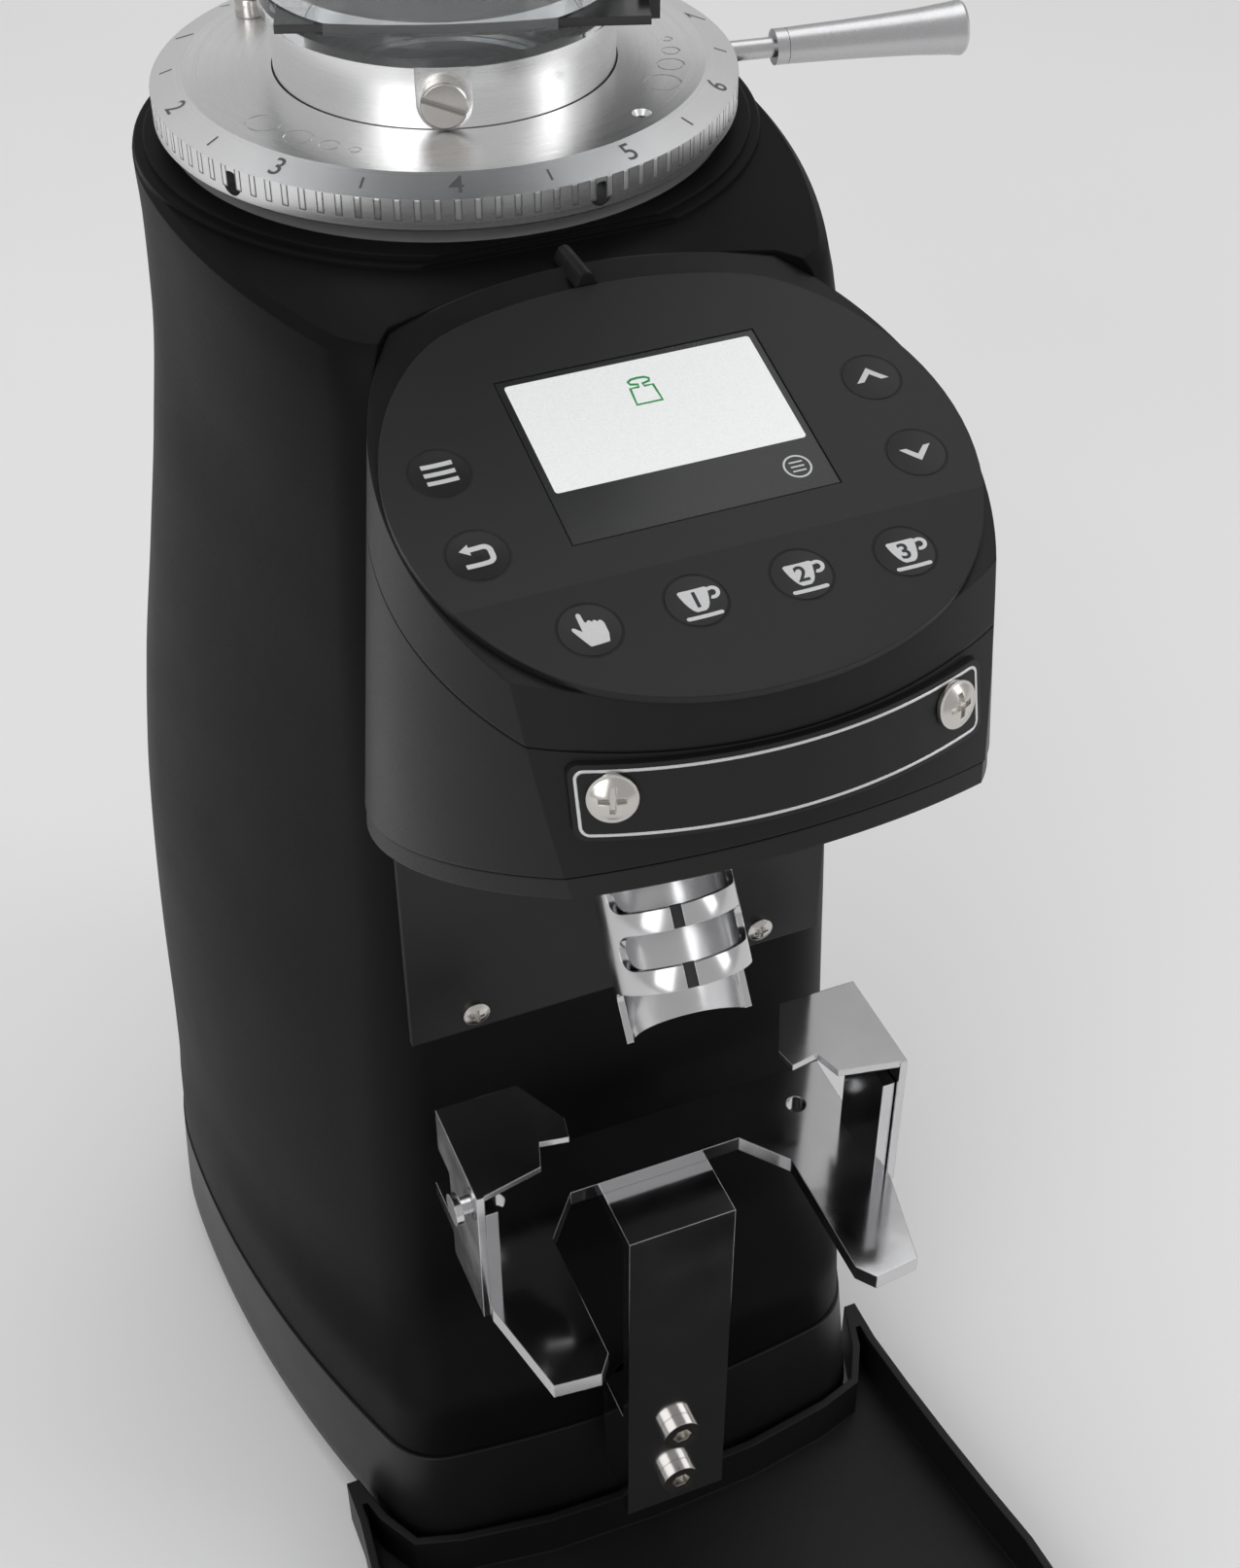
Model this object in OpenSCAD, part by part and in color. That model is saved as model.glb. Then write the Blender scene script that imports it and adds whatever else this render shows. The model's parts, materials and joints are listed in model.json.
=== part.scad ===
// Electronic espresso grinder with flat burrs, a stepped grind collar and a fork with two sprung clips.
// Millimetres. The origin is on the grinding axis at the level of the feet. +Z is up, -Y is the front.

/* [Body] */
// Height of the seam between the plinth and the body
seam_z = 42; // [41:0.5:43]
// Height of the shoulder under the grind collar
shoulder_z = 335; // [334.5:0.25:335.5]
// Thickness of the cast walls
wall = 4; // [3:0.5:4.5]

/* [Grind collar] */
// Height of the collar's lower edge
collar_z = 340; // [339.8:0.1:341]
// Radius of the graduated band
collar_r = 56.25; // [55:0.25:57]
// Height of the graduated band
band_h = 6.1; // [5:0.1:7]
// Radius of the collar's flat top
collar_top_r = 50; // [48:0.5:52]
// Height of the whole collar above its lower edge
collar_h = 8.3; // [8:0.1:9]
// Direction of the lever in degrees from +X
lever_angle = -8; // [-20:1:10]

/* [Burrs] */
// Outer radius of the flat burrs
burr_r = 32; // [30:0.5:32]
// Radius of the burrs' central bore
burr_bore_r = 19; // [18:0.5:20]
// Thickness of one burr
burr_t = 8; // [7:0.5:8.5]
// Gap between the burrs at the stored setting
burr_gap = 0.4; // [0.2:0.05:0.6]

/* [Head] */
// Slope of the control panel in degrees
panel_tilt = 15.5; // [15:0.25:16]
// Thickness of the head's shells
head_wall = 3; // [2:0.5:3.5]
// Radius of the buttons
button_r = 5; // [4.5:0.1:5.4]
// How far a button is pressed
button_travel = 0.6; // [0.3:0.1:0.8]

/* [Spout] */
// Outer radius of the spout
spout_r = 13.2; // [12.5:0.1:13.5]
// Thickness of the spout's sheet
spout_t = 1.2; // [0.8:0.1:1.5]
// Lean of the spout from the vertical in degrees
spout_lean = 35.9; // [35:0.1:37]

/* [Fork] */
// Height of the fork's upper face
fork_z = 140; // [138:1:142]
// Half of the gap between the fork's prongs
fork_gap = 28; // [27:0.5:30]
// Height of the side clips' upper face
clip_z = 175; // [174:0.5:176]

/* [Tray] */
// Distance of the tray's front edge from the grinding axis
tray_front = 232; // [225:1:240]
// Height of the tray's rim
tray_h = 17; // [14:0.5:20]

/* [Motor] */
// Outer radius of the stator
stator_r = 52; // [48:0.5:53]
// Outer radius of the rotor core
rotor_r = 30; // [26:0.5:30]
// Radius of the motor shaft in its bearings
shaft_r = 8; // [7:0.5:8]

/* [Hopper] */
// Outer radius of the neck ring
neck_r = 32.8; // [32.5:0.1:33]
// Height of the neck ring's rim
neck_top = 360.2; // [359.5:0.1:361]
// Outer radius of the hopper
hopper_r = 68; // [60:1:72]
// Height of the hopper's rim
hopper_top = 486; // [460:2:500]

/* [Hidden] */
$fn = 64;

// Body stations from the seam to the shoulder:
// [height, half width, y of the widest point, half width of the front, front y, rear y, front bulge]
BODY = [
    [seam_z, 83, 21, 57.5, -96.5, 95, 5],
    [60, 82, 20, 56.5, -96, 95, 5],
    [67, 81.5, 19, 55, -92, 94, 4],
    [76, 81, 19, 53.5, -87, 94, 2],
    [90, 80.5, 18, 53, -84.7, 93, 0.3],
    [125, 79.5, 16, 51.8, -84.7, 91, 0.3],
    [170, 77.2, 12, 49.8, -84.7, 87, 0.3],
    [205, 73.8, 8, 48.6, -84.7, 82, 0.3],
    [240, 68.8, 4, 48.4, -84.7, 77, 0.3],
    [270, 64.5, 2, 48.2, -84.7, 72, 0.3],
    [300, 61.3, 0, 46.6, -84.7, 68, 0.3],
    [322, 60.8, -2, 44.6, -83.7, 66, 0.3],
    [shoulder_z - 1.6, 61.2, -3, 43.6, -79.7, 65, 0.3],
    [shoulder_z, 59.8, -3, 42.2, -78.3, 63.6, 0.3]
];
PLINTH = [
    [8, 84, 26, 59, -101.4, 97, 5.5],
    [10, 84.5, 26, 59.6, -102, 97.5, 5.5],
    [14, 84.3, 26, 59.4, -101.4, 97.3, 5.5],
    [seam_z - 0.8, 83.4, 21, 58, -97, 95.4, 5]
];
rear_power = 2.1;
corner_r = 9;

panel_y = -115;
panel_z = 324;
burr_mid = 303;
spout_y = -107.2;
spout_z = 227.8;
neck_turn = -18.9;
lever_z = collar_z + 3;
stem_z = 53.5;
stem_r = 6;
FOOT_PLACES = [[-50, -78], [50, -78], [-52, 62], [52, 62]];
TAPPED_ANGLES = [-152, -80, lever_angle, 64, 136];

// Button centres on the panel: [name, x, y]
BUTTONS = [
    ["menu", -38.7, -105.5], ["back", -38.6, -122.7], ["up", 38.7, -105.5], ["down", 38.6, -122.7],
    ["manual", -27.2, -141], ["dose_1", -9.1, -140.5], ["dose_2", 9.1, -140.5], ["dose_3", 27.2, -141]
];

// ---------- Shared outlines ----------

function side_x(s, g, y) =
    let (w = s[1] - g, f = s[3] - g)
    w - (w - f) * pow((s[2] - y) / (s[2] - s[4] - g), 2);

function bend(t, a, b, c) = (1 - t) * (1 - t) * a + 2 * t * (1 - t) * b + t * t * c;

// Right half of a body section inset by g, from the front centre round to the rear centre
function half_section(s, g, n) =
    let (
        f = s[3] - g,
        yf = s[4] + g,
        y1 = yf + corner_r,
        w = s[1] - g,
        front = function(x) yf - s[6] * (1 - pow(x / f, 2))
    )
    concat(
        [for (i = [0:n - 1]) let (x = (f - corner_r) * i / n) [x, front(x)]],
        [for (i = [0:n]) bend(i / n, [f - corner_r, front(f - corner_r)], [f, yf], [side_x(s, g, y1), y1])],
        [for (i = [1:2 * n]) let (y = y1 + (s[2] - y1) * i / (2 * n)) [side_x(s, g, y), y]],
        [for (i = [1:2 * n]) let (a = 90 * i / (2 * n))
            [w * pow(cos(a), 2 / rear_power), s[2] + (s[5] - g - s[2]) * pow(sin(a), 2 / rear_power)]]
    );

function section(s, g, n) =
    let (h = half_section(s, g, n), m = len(h))
    concat(h, [for (i = [m - 2:-1:1]) [-h[i][0], h[i][1]]]);

// Solid through a list of stations, each inset by g
module loft(stations, g, n) {
    rings = [for (s = stations) section(s, g, n)];
    m = len(rings[0]);
    k = len(stations);
    points = [for (j = [0:k - 1]) for (p = rings[j]) [p[0], p[1], stations[j][0]]];
    sides = [for (j = [0:k - 2]) for (i = [0:m - 1])
        let (a = j * m + i, b = j * m + (i + 1) % m)
        each [[a, a + m, b + m], [a, b + m, b]]];
    bottom = [for (i = [0:m - 1]) i];
    top = [for (i = [m - 1:-1:0]) (k - 1) * m + i];
    polyhedron(points, concat(sides, [bottom, top]));
}

// Stations between two heights, with the end stations moved to those heights
function between(stations, z0, z1) =
    let (inner = [for (s = stations) if (s[0] > z0 && s[0] < z1) s])
    concat([at_height(stations, z0)], inner, [at_height(stations, z1)]);

function at_height(stations, z) =
    [for (i = [0:6]) i == 0 ? z : lookup(z, [for (s = stations) [s[0], s[i]]])];

// Distance from a point along direction a to a circle round c
function to_circle(a, c, r) =
    let (d = c[0] * cos(a) + c[1] * sin(a))
    d + sqrt(r * r - c * c + d * d);

function blend_min(list, p) = pow([for (v = list) pow(v, -p)] * [for (v = list) 1], -1 / p);

// Plan outline of the control panel round its centre, grown by g
function panel_outline(g) =
    [for (i = [0:95]) let (
        a = 360 * i / 96,
        s = cos(a) >= 0 ? a : 180 - a,
        r = g + blend_min([
            to_circle(s, [4.7, 0], 45),
            to_circle(a, [0, 25.7], 70),
            to_circle(a, [0, -55.8], 98)
        ], 60))
        [r * cos(a), r * sin(a) / cos(panel_tilt)]];

module on_panel() {
    translate([0, panel_y, panel_z])
        rotate([panel_tilt, 0, 0])
            children();
}

// Puts children at a plan position on the sloping panel
module at_button(i) {
    on_panel()
        translate([BUTTONS[i][1], (BUTTONS[i][2] - panel_y) / cos(panel_tilt), 0])
            children();
}

// Frame of the spout: +Z up along the tube, -Y to its front
module on_spout() {
    translate([0, spout_y, spout_z])
        rotate([-spout_lean, 0, 0])
            children();
}

module rounded_rect(w, h, r) {
    square([w, h - 2 * r], center = true);
    square([w - 2 * r, h], center = true);
    for (x = [-1, 1], y = [-1, 1])
        translate([x * (w / 2 - r), y * (h / 2 - r)])
            circle(r);
}

module ring(r1, r2, z0, z1) {
    translate([0, 0, z0])
        rotate_extrude()
            translate([r1, 0])
                square([r2 - r1, z1 - z0]);
}

module rod(r, z0, z1) {
    translate([0, 0, z0])
        cylinder(h = z1 - z0, r = r);
}

// Space below a plane that passes through y0, z0 and rises by slope degrees towards the rear
module below_plane(y0, z0, slope) {
    translate([0, y0, z0])
        rotate([slope, 0, 0])
            translate([-120, -120, -200])
                cube([240, 260, 200]);
}

// Pan-head screw with a cross recess, its head on the z = 0 plane and its shank below it
module pan_screw(head_r, head_h, shank_r, shank_l) {
    difference() {
        union() {
            cylinder(h = head_h * 0.45, r = head_r);
            intersection() {
                translate([0, 0, head_h - head_r * 1.6])
                    sphere(r = head_r * 1.6);
                cylinder(h = head_h * 2, r = head_r);
            }
            translate([0, 0, -shank_l])
                cylinder(h = shank_l + 0.1, r = shank_r);
        }
        for (a = [0, 90])
            rotate([0, 0, a])
                translate([0, 0, head_h])
                    cube([head_r * 1.1, head_r * 0.24, head_h * 1.1], center = true);
    }
}

// ---------- Base ----------

module base_plinth() {
    color("#161617")
    difference() {
        loft(PLINTH, 0, 4);
        difference() {
            loft(between(PLINTH, 11, seam_z + 1), wall - 0.5, 4);
            for (p = FOOT_PLACES)
                translate([p[0], p[1], 7])
                    cylinder(h = 9, r = 8);
        }
        // Opening over the vents of the base plate
        translate([-22, -2, 0])
            cube([44, 72, 20]);
        for (p = FOOT_PLACES)
            translate([p[0], p[1], 0])
                cylinder(h = 16.5, r = 2.6);
    }
}

module base_plate() {
    plate = PLINTH[0];
    color("#3a3a3c")
    difference() {
        translate([0, 0, 5.6])
            linear_extrude(2)
                polygon(section(plate, 4, 6));
        for (p = FOOT_PLACES)
            translate([p[0], p[1], 0])
                cylinder(h = 12, r = 2.6);
        for (y = [4:15:64])
            translate([-20, y - 2, 0])
                cube([40, 4, 12]);
    }
}

module rubber_feet() {
    color("#0c0c0c")
    for (p = FOOT_PLACES)
        translate([p[0], p[1], 0]) {
            rotate_extrude()
                polygon([[0, 1.5], [6, 1.5], [6.6, 0], [11, 0], [12, 1], [12.6, 5.6], [0, 5.6]]);
            cylinder(h = 15, r = 2.5);
        }
}

// ---------- Body ----------

module head_clearance(g) {
    intersection() {
        head_form(g);
        translate([0, -160.5, 300])
            cylinder(h = 60, r = 95 + g, $fn = 96);
        translate([-80, -120, 317.7])
            cube([160, 80, 60]);
    }
}

module body_casting() {
    color("#1a1a1b")
    difference() {
        union() {
            loft(BODY, 0, 4);
            collar_seat();
        }
        loft(between(BODY, seam_z - 1, shoulder_z - 11), wall, 3);
        // Seat of the grinding chamber and of its flange
        rod(51, shoulder_z - 30, shoulder_z + 10);
        rod(54.1, shoulder_z - 2, shoulder_z + 10);
        // Recess for the rear of the head cover
        head_clearance(0.2);
        // Way through for the exit duct
        on_spout()
            rod(16.3, 10, 80);
        // Way through for the fork's stem
        translate([0, -80, stem_z])
            rotate([90, 0, 0])
                cylinder(h = 40, r = stem_r + 2);
        // Opening behind the service panel, and the panel's own recess
        translate([-28, 70, 66])
            cube([56, 40, 34]);
        translate([-32, 86, 62])
            cube([64, 20, 42]);
        // Tapped holes of the column plate
        for (x = [-32.6, 32.6])
            translate([x, -70, 181.7])
                rotate([90, 0, 0])
                    cylinder(h = 30, r = 1.7);
    }
}

// Two round steps with a flat front edge, which the collar stands over
module collar_seat() {
    difference() {
        union() {
            rod(60.8, shoulder_z - 6, shoulder_z + 1);
            rod(58.8, shoulder_z, shoulder_z + 2);
        }
        translate([-70, -100, shoulder_z])
            cube([140, 46.5, 10]);
        translate([-70, -100, shoulder_z + 1])
            cube([140, 48.5, 10]);
    }
}

module service_panel() {
    color("#2a2a2b")
    difference() {
        translate([-31.8, 86.2, 62.2])
            cube([63.6, 2, 41.6]);
        translate([-13, 80, 83])
            cube([28.4, 20, 20.4], center = true);
        translate([17, 80, 83])
            cube([13.4, 20, 19.4], center = true);
        for (x = [-29, 29])
            translate([x, 95, 98])
                rotate([90, 0, 0])
                    cylinder(h = 12, r = 1.6);
    }
}

// Mains inlet for a detachable lead, with three blades in an open socket
module mains_inlet() {
    color("#101010")
    difference() {
        union() {
            translate([-28.5, 88.2, 70])
                cube([31, 3, 26]);
            translate([-27.1, 62, 72.9])
                cube([28.2, 27, 20.2]);
        }
        translate([-25.4, 68, 74.6])
            cube([24.8, 30, 16.8]);
    }
    color("silver")
    for (b = [[-20, 80], [-6, 80], [-13, 86]])
        translate([b[0] - 1, 65, b[1] - 2])
            cube([2, 19, 4]);
}

module power_switch() {
    color("#101010")
    difference() {
        union() {
            translate([8.5, 88.2, 71])
                cube([17, 2, 24]);
            translate([10.4, 68, 73.4])
                cube([13.2, 21, 19.2]);
        }
        translate([11.7, 78, 74.6])
            cube([10.6, 20, 16.8]);
    }
}

module power_rocker() {
    color("#b01818")
    translate([17, 86, 83])
        rotate([0, 90, 0])
            translate([0, 0, -5])
                linear_extrude(10)
                    polygon([
                        [-6.8, 2.6], [-6.8, 0.5], [-2.6, -3.6], [2.6, -3.6], [6.8, 0.5], [6.6, 5.4],
                        [4.5, 5.6], [0, 3.8], [-4.5, 2.8]
                    ]);
}

// ---------- Head ----------

// Outer form of the head, where one front cone and two side cones meet, grown by g
module head_form(g) {
    intersection() {
        translate([0, -69.7, 240])
            cylinder(h = 104, r1 = 103.7 + g, r2 = 79.3 + g, $fn = 96);
        translate([16.8, -112, 240])
            cylinder(h = 104, r1 = 73.2 + g, r2 = 65.1 + g, $fn = 96);
        translate([-16.8, -112, 240])
            cylinder(h = 104, r1 = 73.2 + g, r2 = 65.1 + g, $fn = 96);
    }
}

module below_panel(depth) {
    on_panel()
        translate([-120, -120, -200 - depth])
            cube([240, 260, 200]);
}

// Joint between head housing and head cover, raised by g
module below_cover_joint(g) {
    below_plane(-165, 301.15 + g, 8.53);
}

// Joint between head housing and bottom plate, raised by g
module below_bottom_joint(g) {
    below_plane(-163, 284.7 + g, -26.1);
}

module in_front_of(y) {
    translate([-120, y - 200, 200])
        cube([240, 200, 200]);
}

module head_cover() {
    color("#1b1b1c") {
        difference() {
            intersection() {
                head_form(0);
                below_panel(1.6);
                translate([0, -160.5, 290])
                    cylinder(h = 60, r = 95, $fn = 96);
                union() {
                    difference() {
                        in_front_of(-85.2);
                        below_cover_joint(0);
                    }
                    translate([-80, -86, 318])
                        cube([160, 40, 40]);
                }
            }
            intersection() {
                head_form(-head_wall);
                below_panel(4.6);
                in_front_of(-88.2);
            }
            on_panel()
                translate([-24, -11, -6])
                    cube([48, 37.6, 6]);
            for (i = [0:len(BUTTONS) - 1])
                at_button(i)
                    rod(button_r + 1.7, -6, 1);
        }
        on_panel()
            for (x = [-1, 1], y = [-17, 23])
                translate([x * 31, y, 0])
                    rod(2.4, -8.6, -4.5);
        index_fin();
    }
}

// Ridge behind the panel that points at the collar's scale
module index_fin() {
    intersection() {
        translate([0, -77, 0])
            rotate([-90, 0, 0])
                linear_extrude(15.4)
                    polygon([[-2.2, -335.4], [-1, -337.7], [0, -338.1], [1, -337.7], [2.2, -335.4]]);
        translate([-5, -72.6, 334])
            cube([10, 20, 10]);
    }
}

module head_housing() {
    color("#1b1b1c")
    difference() {
        intersection() {
            head_form(0);
            in_front_of(-85.2);
            below_cover_joint(-0.3);
        }
        below_bottom_joint(0);
        intersection() {
            head_form(-head_wall);
            in_front_of(-88.2);
        }
        on_spout()
            rod(19.2, -10, 90);
        nameplate_screw_places()
            rod(1.9, -12, 4);
    }
}

module head_bottom() {
    color("#151516")
    difference() {
        intersection() {
            head_form(-0.3);
            in_front_of(-85.4);
            below_bottom_joint(-0.3);
        }
        below_bottom_joint(-4.4);
        on_spout()
            rod(19.2, -10, 90);
    }
}

module fascia_panel() {
    color("#1e1e1f")
    on_panel()
        difference() {
            translate([0, 0, -1.6])
                linear_extrude(1.6)
                    polygon(panel_outline(0));
            translate([-23.7, -10.5, -3])
                cube([47.4, 36.8, 6]);
            for (i = [0:len(BUTTONS) - 1])
                translate([BUTTONS[i][1], (BUTTONS[i][2] - panel_y) / cos(panel_tilt), 0])
                    rod(button_r + 0.3, -3, 3);
        }
}

module display_module() {
    color("#e8eaea")
    on_panel() {
        translate([-23.5, -10.3, -5.4])
            cube([47, 36.4, 5.3]);
        translate([-22, -9, -8.2])
            cube([44, 33, 2.9]);
    }
}

module display_board() {
    color("#14522c")
    intersection() {
        on_panel()
            union() {
                translate([-43, -31, -10.2])
                    cube([86, 57, 1.6]);
                for (i = [0:len(BUTTONS) - 1])
                    translate([BUTTONS[i][1] - 3, (BUTTONS[i][2] - panel_y) / cos(panel_tilt) - 3, -8.6])
                        cube([6, 6, 3]);
            }
        head_form(-head_wall - 0.5);
        in_front_of(-88.7);
    }
}

module nameplate() {
    color("#242425")
    difference() {
        intersection() {
            head_form(1.2);
            translate([0, -130, 295.1])
                rotate([90, 0, 0])
                    linear_extrude(50)
                        rounded_rect(72, 12.9, 2);
        }
        head_form(0);
        nameplate_screw_places()
            rod(1.9, -12, 4);
    }
}

// Normals of the head's front cone at the nameplate's screws, with z = 0 on the plate's face
module nameplate_screw_places() {
    for (s = [-1, 1])
        translate([0, -69.7, 296.3])
            rotate([0, 0, -90 + s * 19])
                translate([91.75, 0, 0])
                    rotate([0, 76.8, 0])
                        children();
}

module nameplate_screws() {
    color("silver")
    nameplate_screw_places()
        pan_screw(4.15, 2, 1.85, 7);
}

module column_plate() {
    color("#151516")
    difference() {
        translate([-46.8, -87.6, 177])
            cube([93.6, 1.7, 64.5]);
        on_spout()
            rod(19.2, -10, 90);
        for (x = [-32.6, 32.6])
            translate([x, -70, 181.7])
                rotate([90, 0, 0])
                    cylinder(h = 30, r = 2);
    }
}

module column_plate_screws() {
    color("silver")
    for (x = [-32.6, 32.6])
        translate([x, -87.6, 181.7])
            rotate([90, 0, 0])
                pan_screw(2.9, 1.6, 1.65, 7);
}

// ---------- Way of the coffee ----------

BAND_EDGES = [[-5.2, 1], [-16.5, -9.6]];
lip_z = -21.3;
tip_z = -33.6;

// Rolled tube with two windows, a split down the front and an open lip
module spout() {
    inner_r = spout_r - spout_t;
    color("silver")
    on_spout()
        difference() {
            ring(inner_r, spout_r, tip_z, 34);
            for (w = BAND_EDGES)
                spout_window(w[0], w[1]);
            translate([0, 0, -10])
                spout_window(tip_z - 4, lip_z + 10);
            // Split
            rotate([0, 0, -11.5])
                translate([-0.8, -20, tip_z - 1])
                    cube([1.6, 20, 34]);
            translate([-30, -7.6, tip_z - 3])
                rotate([-38, 0, 0])
                    translate([0, -30, -30])
                        cube([60, 30, 34]);
        }
}

// Cut through the front of the tube between two heights, round at its ends
module spout_window(z0, z1) {
    r = min(3, (z1 - z0) / 2 - 0.01);
    translate([0, 0, (z0 + z1) / 2])
        rotate([90, 0, 0])
            translate([0, 0, 1])
                linear_extrude(30)
                    square([60, z1 - z0], center = true);
    for (x = [-1, 1])
        translate([0, -1, (z0 + z1) / 2])
            rotate([0, 90, 0])
                cylinder(h = 60, r = r, center = true);
}

// Straight duct from the grinding chamber to the spout, with the boss that holds the spout
module exit_duct() {
    color("#121212")
    difference() {
        union() {
            intersection() {
                on_spout()
                    rod(16, 30, 92);
                translate([-40, -140, 200])
                    cube([80, 90, 104.4]);
            }
            intersection() {
                on_spout()
                    rod(18.8, 12, 40);
                translate([-40, -140, 200])
                    cube([80, 52.2, 120]);
            }
        }
        on_spout()
            rod(spout_r, 0, 88);
        translate([-12, -75, 287])
            cube([24, 40, 14]);
    }
}

// Cup for the burrs, with the thread that carries the collar, the hub of the upper bearing,
// the port towards the duct and three blind holes for the springs
module grinding_chamber() {
    color("#8c8c8e")
    difference() {
        union() {
            rod(50.8, 305, 336.8);
            rod(53.9, shoulder_z - 2, 336.8);
            rod(42, 282, 305.5);
            rod(20, 262, 283);
            difference() {
                translate([-15, -58, 284])
                    cube([30, 30, 20]);
                on_spout()
                    rod(16.2, 30, 95);
            }
        }
        rod(46.6, 314, 340);
        rod(40.5, 305, 320);
        rod(34, 286, 310);
        rod(16, 260, 274);
        rod(9, 270, 290);
        translate([-12, -62, 287])
            cube([24, 40, 14]);
        for (a = SPRING_ANGLES)
            rotate([0, 0, a])
                translate([37.2, 0, 0])
                    rod(2.9, 296, 306);
    }
}

SPRING_ANGLES = [30, 150, 270 - 40];

// Three helical springs that lift the upper burr carrier against the collar
module carrier_springs() {
    turns = 4.5;
    steps = 10;
    z0 = 296.45;
    pitch = (307.5 - 0.05 - 2 * 0.45 - 296) / turns;
    wire_r = 0.4;
    n = turns * steps;
    function spot(i) = let (a = 360 * i / steps) [2.2 * cos(a), 2.2 * sin(a), z0 + pitch * i / steps];
    function wire(i) = let (a = 360 * i / steps, p = spot(i))
        [for (k = [0:5]) let (b = 60 * k)
            p + wire_r * [cos(b) * cos(a), cos(b) * sin(a), sin(b)]];
    rows = n + 1;
    points = [for (i = [0:n]) each wire(i)];
    walls = [for (i = [0:n - 1]) for (k = [0:5])
        let (p = i * 6 + k, q = i * 6 + (k + 1) % 6)
        each [[p, q, q + 6], [p, q + 6, p + 6]]];
    color("silver")
    for (a = SPRING_ANGLES)
        rotate([0, 0, a])
            translate([37.2, 0, 0])
                polyhedron(points, concat(walls, [[5, 4, 3, 2, 1, 0], [for (k = [0:5]) n * 6 + k]]));
}

// Flat burr with its working face up: breaker teeth inside, fine teeth outside, three countersunk holes
module burr() {
    difference() {
        ring(burr_bore_r, burr_r, -burr_t, 0);
        for (i = [0:9])
            rotate([0, 0, 36 * i])
                translate([burr_bore_r - 4, -1.4, -3.4])
                    rotate([0, -15, 14])
                        cube([13.2, 4.4, 6]);
        for (i = [0:29])
            rotate([0, 0, 12 * i])
                translate([burr_r - 6.4, 2, -0.9])
                    rotate([0, 2, 24])
                        cube([9, 1.3, 3]);
        for (a = BURR_SCREW_ANGLES)
            rotate([0, 0, a])
                translate([25.5, 0, -burr_t]) {
                    translate([0, 0, -1])
                        cylinder(h = burr_t + 2, r = 2.2);
                    translate([0, 0, burr_t - 3.4])
                        cylinder(h = 3.6, r1 = 2.2, r2 = 4.4);
                }
    }
}

BURR_SCREW_ANGLES = [18, 138, 258];

module upper_burr() {
    color("#b8b8ba")
    translate([0, 0, burr_mid + burr_gap / 2])
        rotate([180, 0, 0])
            burr();
}

module lower_burr() {
    color("#b8b8ba")
    translate([0, 0, burr_mid - burr_gap / 2])
        burr();
}

module burr_screws() {
    color("#606062")
    translate([0, 0, burr_mid - burr_gap / 2 - burr_t])
        for (a = BURR_SCREW_ANGLES)
            rotate([0, 0, a])
                translate([25.5, 0, 0])
                    difference() {
                        union() {
                            translate([0, 0, -5])
                                cylinder(h = burr_t, r = 2.15);
                            translate([0, 0, burr_t - 3.4])
                                cylinder(h = 2, r1 = 2.15, r2 = 3.35);
                        }
                        translate([0, 0, burr_t - 1.2])
                            cube([0.9, 10, 1.8], center = true);
                    }
}

// Holder of the upper burr, whose neck carries the hopper
module upper_burr_carrier() {
    seat_z = burr_mid + burr_gap / 2 + burr_t;
    color("#c8c8c8")
    difference() {
        rotate_extrude($fn = 96)
            polygon([
                [burr_bore_r, seat_z], [burr_bore_r, seat_z + 3], [29.8, 336], [29.8, neck_top],
                [neck_r - 0.6, neck_top], [neck_r, neck_top - 0.6], [neck_r, 319.7], [40.2, 319.7],
                [40.2, 307.5], [burr_r, 307.5], [burr_r, seat_z]
            ]);
        rotate([0, 0, neck_turn - 90]) {
            translate([31.3, 0, 353])
                rotate([0, 90, 0])
                    cylinder(h = 10, r = 5.1);
            translate([31.3, -5.1, 353])
                cube([10, 10.2, 20]);
            translate([20, 0, 353])
                rotate([0, 90, 0])
                    cylinder(h = 20, r = 2);
        }
    }
}

// Slotted screw that locks the hopper in the neck, and the small stop screw over it
module neck_screws() {
    color("#b09a80")
    rotate([0, 0, neck_turn - 90]) {
        translate([31.3, 0, 353])
            rotate([0, 90, 0])
                difference() {
                    union() {
                        cylinder(h = 2.6, r = 4.35);
                        translate([0, 0, -1.8])
                            cylinder(h = 2, r = 1.95);
                    }
                    translate([0, 0, 2.6])
                        rotate([0, 0, 20])
                            cube([12, 1, 2.2], center = true);
                }
    }
}

// ---------- Hopper ----------

// Clear throat in the neck, with the rails of the shutter
module shutter_frame() {
    color([0.85, 0.88, 0.9, 0.4])
    rotate([0, 0, neck_turn])
        difference() {
            union() {
                rod(29.5, 341, 361);
                rod(34.5, neck_top + 0.3, 373);
            }
            rod(26.5, 340, 375);
            translate([-31, -27.5, 364])
                cube([80, 55, 2.2]);
        }
}

module shutter() {
    color("#0d0d0d")
    rotate([0, 0, neck_turn]) {
        translate([-29.5, -27.1, 364.3])
            cube([67, 54.2, 1.6]);
        translate([36, -15, 360.5])
            cube([4, 30, 9]);
        translate([40, 0, 365])
            rotate([0, 90, 0])
                cylinder(h = 12, r = 4.5);
    }
}

module hopper() {
    color([0.8, 0.83, 0.85, 0.35])
    rotate_extrude($fn = 96)
        polygon([
            [28, 373], [34.5, 373], [34.5, 378], [hopper_r, 432], [hopper_r, hopper_top],
            [hopper_r - 2.5, hopper_top], [hopper_r - 2.5, 433], [32, 380], [28, 376]
        ]);
}

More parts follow.
